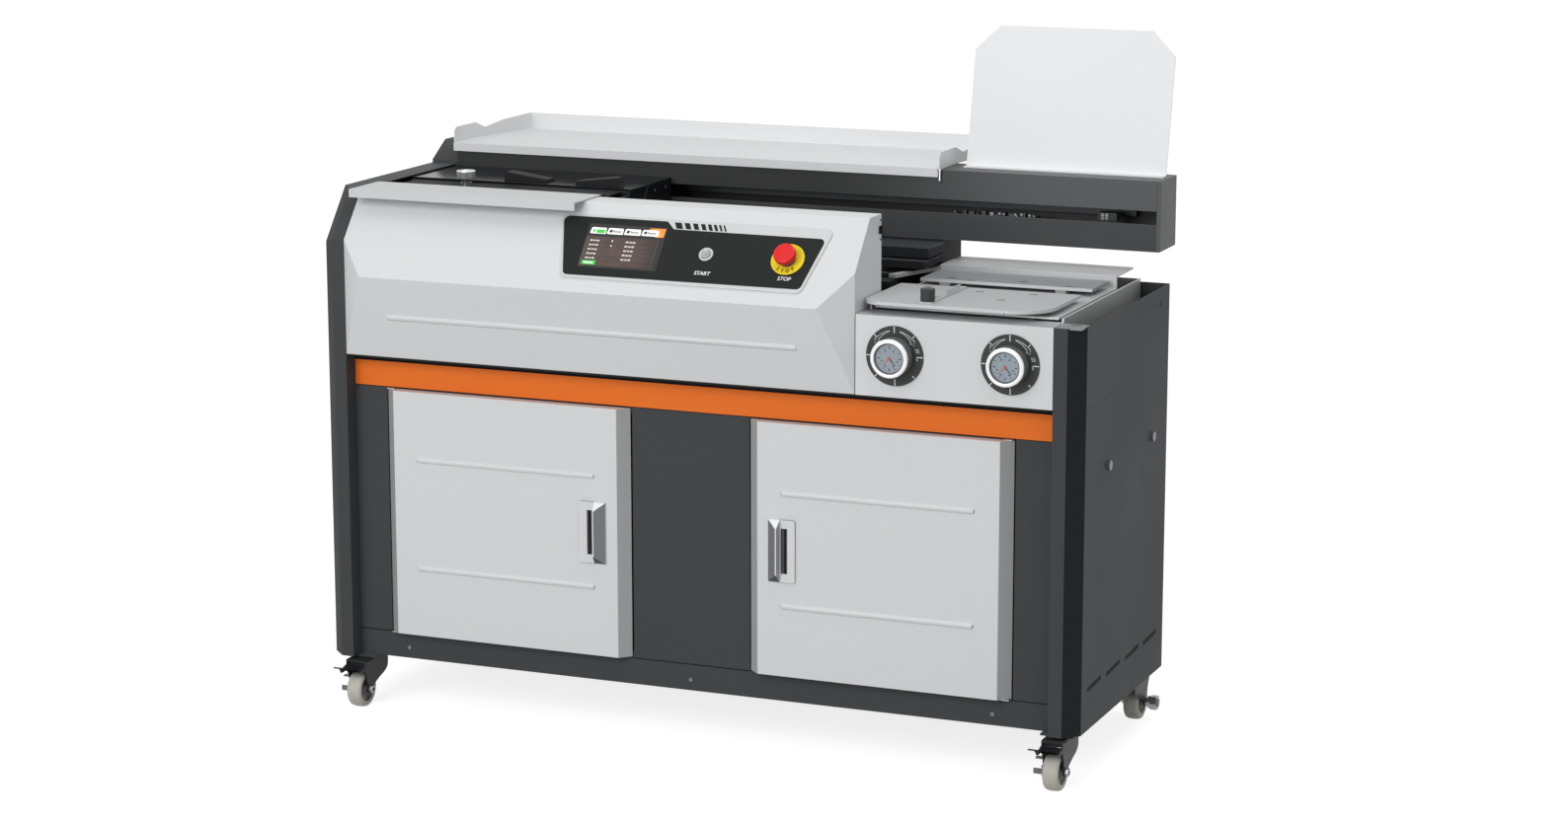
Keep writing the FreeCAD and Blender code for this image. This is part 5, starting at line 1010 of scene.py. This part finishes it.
def dressFork(corner):
    place = casterPlace(corner)
    side = place @ rightPlace(0, 0, 0)
    cheek, outer, top, ahead, behind = (caster[n] for n in ("cheek", "outer", "top", "ahead", "behind"))
    axleY, axleZ = -caster["trail"], caster["radius"]
    form = bmesh.new()
    hood = roundedOutline(boxOutline(-outer, -ahead, outer, behind), [3, 3, 12, 12])
    addPlate(form, hood, top - 4, top, place, 0, 0.6)
    addTurned(form, [(0, 84), (15, 84), (17, 86), (17, 92), (0, 92)], place)
    addDisc(form, 5, 92, 100, place, 24, 2)
    # both cheeks, rounded under the axle
    fore = [(-ahead, top - 1), (-ahead, 76), (-50, 64), (-45.5, 48)]
    foot = [(axleY + x, axleZ + y) for x, y in (atTurn(9, turn) for turn in range(180, 346, 15))]
    rear = [(-18, 42), (2, 50), (20, 55.5), (30, 60.5), (35, 67), (behind, 75), (behind, top - 1)]
    for low in (-outer, cheek):
        addPlate(form, fore + foot + rear, low, low + outer - cheek, side)
    axle = place @ rightPlace(0, axleY, axleZ)
    addDisc(form, 4, -26, 26, axle, 20, 2)
    for low in (outer, -outer - 6):
        addPlate(form, circleOutline(8, 6), low, low + 6, axle, 2, 0.8)
    if corner.startswith("front"):
        addBlock(form, (-outer, -52, 84.6), (outer, -50, top - 1), place)
        addRing(form, 8, 13, -outer - 2, -outer, axle, 32, 1)
        addBlock(form, (-outer - 18, axleY - 9, 29), (-outer, axleY - 6, 39), place, 1, 0.4)
        addBlock(form, (-outer - 15, axleY - 7, 56), (-outer, axleY + 3, 59), place, 1, 0.4)
        addDisc(form, 2, -outer, outer, place @ rightPlace(*caster["pedalPin"]), 16)
    else:
        # big lock nut on the outer end of the axle
        way = -1 if corner.endswith("right") else 1
        nut = ((12, 24, 26, 31, 2), (14.5, 6, 31, 44, 2), (8, 24, 44, 45.5, 1))
        for radius, sides, start, end, tone in nut:
            low, high = sorted((way * start, way * end))
            rim = 0.9 if way > 0 and tone == 2 else 0
            addPlate(form, circleOutline(radius, sides), low, high, axle, tone, rim)
    tones = "casterZinc tabGrey brightZinc"
    finishPiece(corner + "_castorFork", form, tones, corner + "_caster_fork", soften=0.4)


def dressPedal(corner):
    place = casterPlace(corner)
    side = place @ rightPlace(0, 0, 0)
    form = bmesh.new()
    addRing(form, 2.2, 4, -16.6, 16.6, place @ rightPlace(*caster["pedalPin"]), 24)
    tread = [(-55, 81), (-55, 83.4), (-58, 86), (-77, 81), (-77, 78.4), (-58, 83.4)]
    addPlate(form, tread, -16.6, 16.6, side)
    addPlate(form, [(-58, 83.6), (-58, 86), (-77, 81), (-77, 78.6)], -20, 20, side)
    for low in (-20, 18.6):
        addPlate(form, [(-58, 85.5), (-77, 80.5), (-77, 76), (-66, 74), (-58, 78)], low, low + 1.4, side)
    # tab at its left end with a rod
    addBlock(form, (-24, -74, 72.5), (-20, -63, 79.5), place, 0, 0.6)
    addBlock(form, (-27, -72, 76.5), (-23, -65, 79.5), place, 0, 0.6)
    addTube(form, [(-20, -70, 80), (-40, -70, 80)], 1.5, place)
    finishPiece(corner + "_footLever", form, "casterZinc", corner + "_brake_pedal")


for corner in casterPlaces:
    dressWheel(corner)
    dressFork(corner)
    if corner.startswith("front"):
        dressPedal(corner)
print("casters dressed")


# floor, light and camera
studio = {
    "worldLight": 0.38, "floorColour": 0.55, "floorLift": 0.8, "floorSize": 30000,
    "lamps": [("keyLamp", (-1.1, -4.9, 2.9), (0, 0, 0.6), 3.0, 135),
              ("fillLamp", (4.6, -3.4, 2.4), (0, 0, 0.6), 3.0, 16),
              ("topLamp", (1.0, -0.5, 4.2), (0.2, 0, 0.7), 2.6, 44)],
    "cameraPlace": (2.58175, -6.15058, 1.92888), "cameraTurn": (78.41, 0, 22.46), "lens": 81.89,
}


def backdropRays(tree):
    # rays that show the white background: straight, mirrored or through glass
    path = newNode(tree, "LightPath", {})
    straight = calc(tree, "MAXIMUM", path["Is Camera Ray"], path["Is Transmission Ray"])
    return calc(tree, "MAXIMUM", straight, path["Is Glossy Ray"])


def buildStudio():
    world = bpy.data.worlds.new("studioAir")
    bpy.context.scene.world = world
    world.use_nodes = True
    tree = world.node_tree
    level = rangeNode(tree, backdropRays(tree), studio["worldLight"], 1.0)
    feed(tree, tree.nodes["Background"], {"Color": (1, 1, 1, 1), "Strength": level})

    form = bmesh.new()
    size = studio["floorSize"]
    addBlock(form, (-size, -size, -10), (size, size, 0))
    form.transform(toRow)
    mesh = bpy.data.meshes.new("studioFloor")
    form.to_mesh(mesh)
    form.free()
    cover = bpy.data.materials.new("studioFloorPaint")
    cover.use_nodes = True
    tree = cover.node_tree
    glow = calc(tree, "MULTIPLY", backdropRays(tree), studio["floorLift"])
    feed(tree, tree.nodes["Principled BSDF"],
         {"Base Color": (studio["floorColour"],) * 3 + (1,), "Roughness": 0.9, "Specular IOR Level": 0.1,
          "Emission Color": (1, 1, 1, 1), "Emission Strength": glow})
    mesh.materials.append(cover)
    addToScene("studioFloor", mesh)

    for name, where, towards, width, power in studio["lamps"]:
        data = bpy.data.lights.new(name, "AREA")
        data.shape = "SQUARE"
        data.size = width
        data.energy = power
        lamp = addToScene(name, data)
        lamp.location = where
        lamp.rotation_euler = (Vector(towards) - Vector(where)).to_track_quat("-Z", "Y").to_euler()

    view = bpy.data.cameras.new("catalogueCamera")
    view.lens = studio["lens"]
    view.sensor_width = 36
    view.clip_end = 200
    camera = addToScene("catalogueCamera", view)
    camera.location = studio["cameraPlace"]
    camera.rotation_euler = [math.radians(turn) for turn in studio["cameraTurn"]]
    bpy.context.scene.camera = camera
    bpy.context.scene.view_settings.view_transform = "Standard"


buildStudio()
print("studio ready")
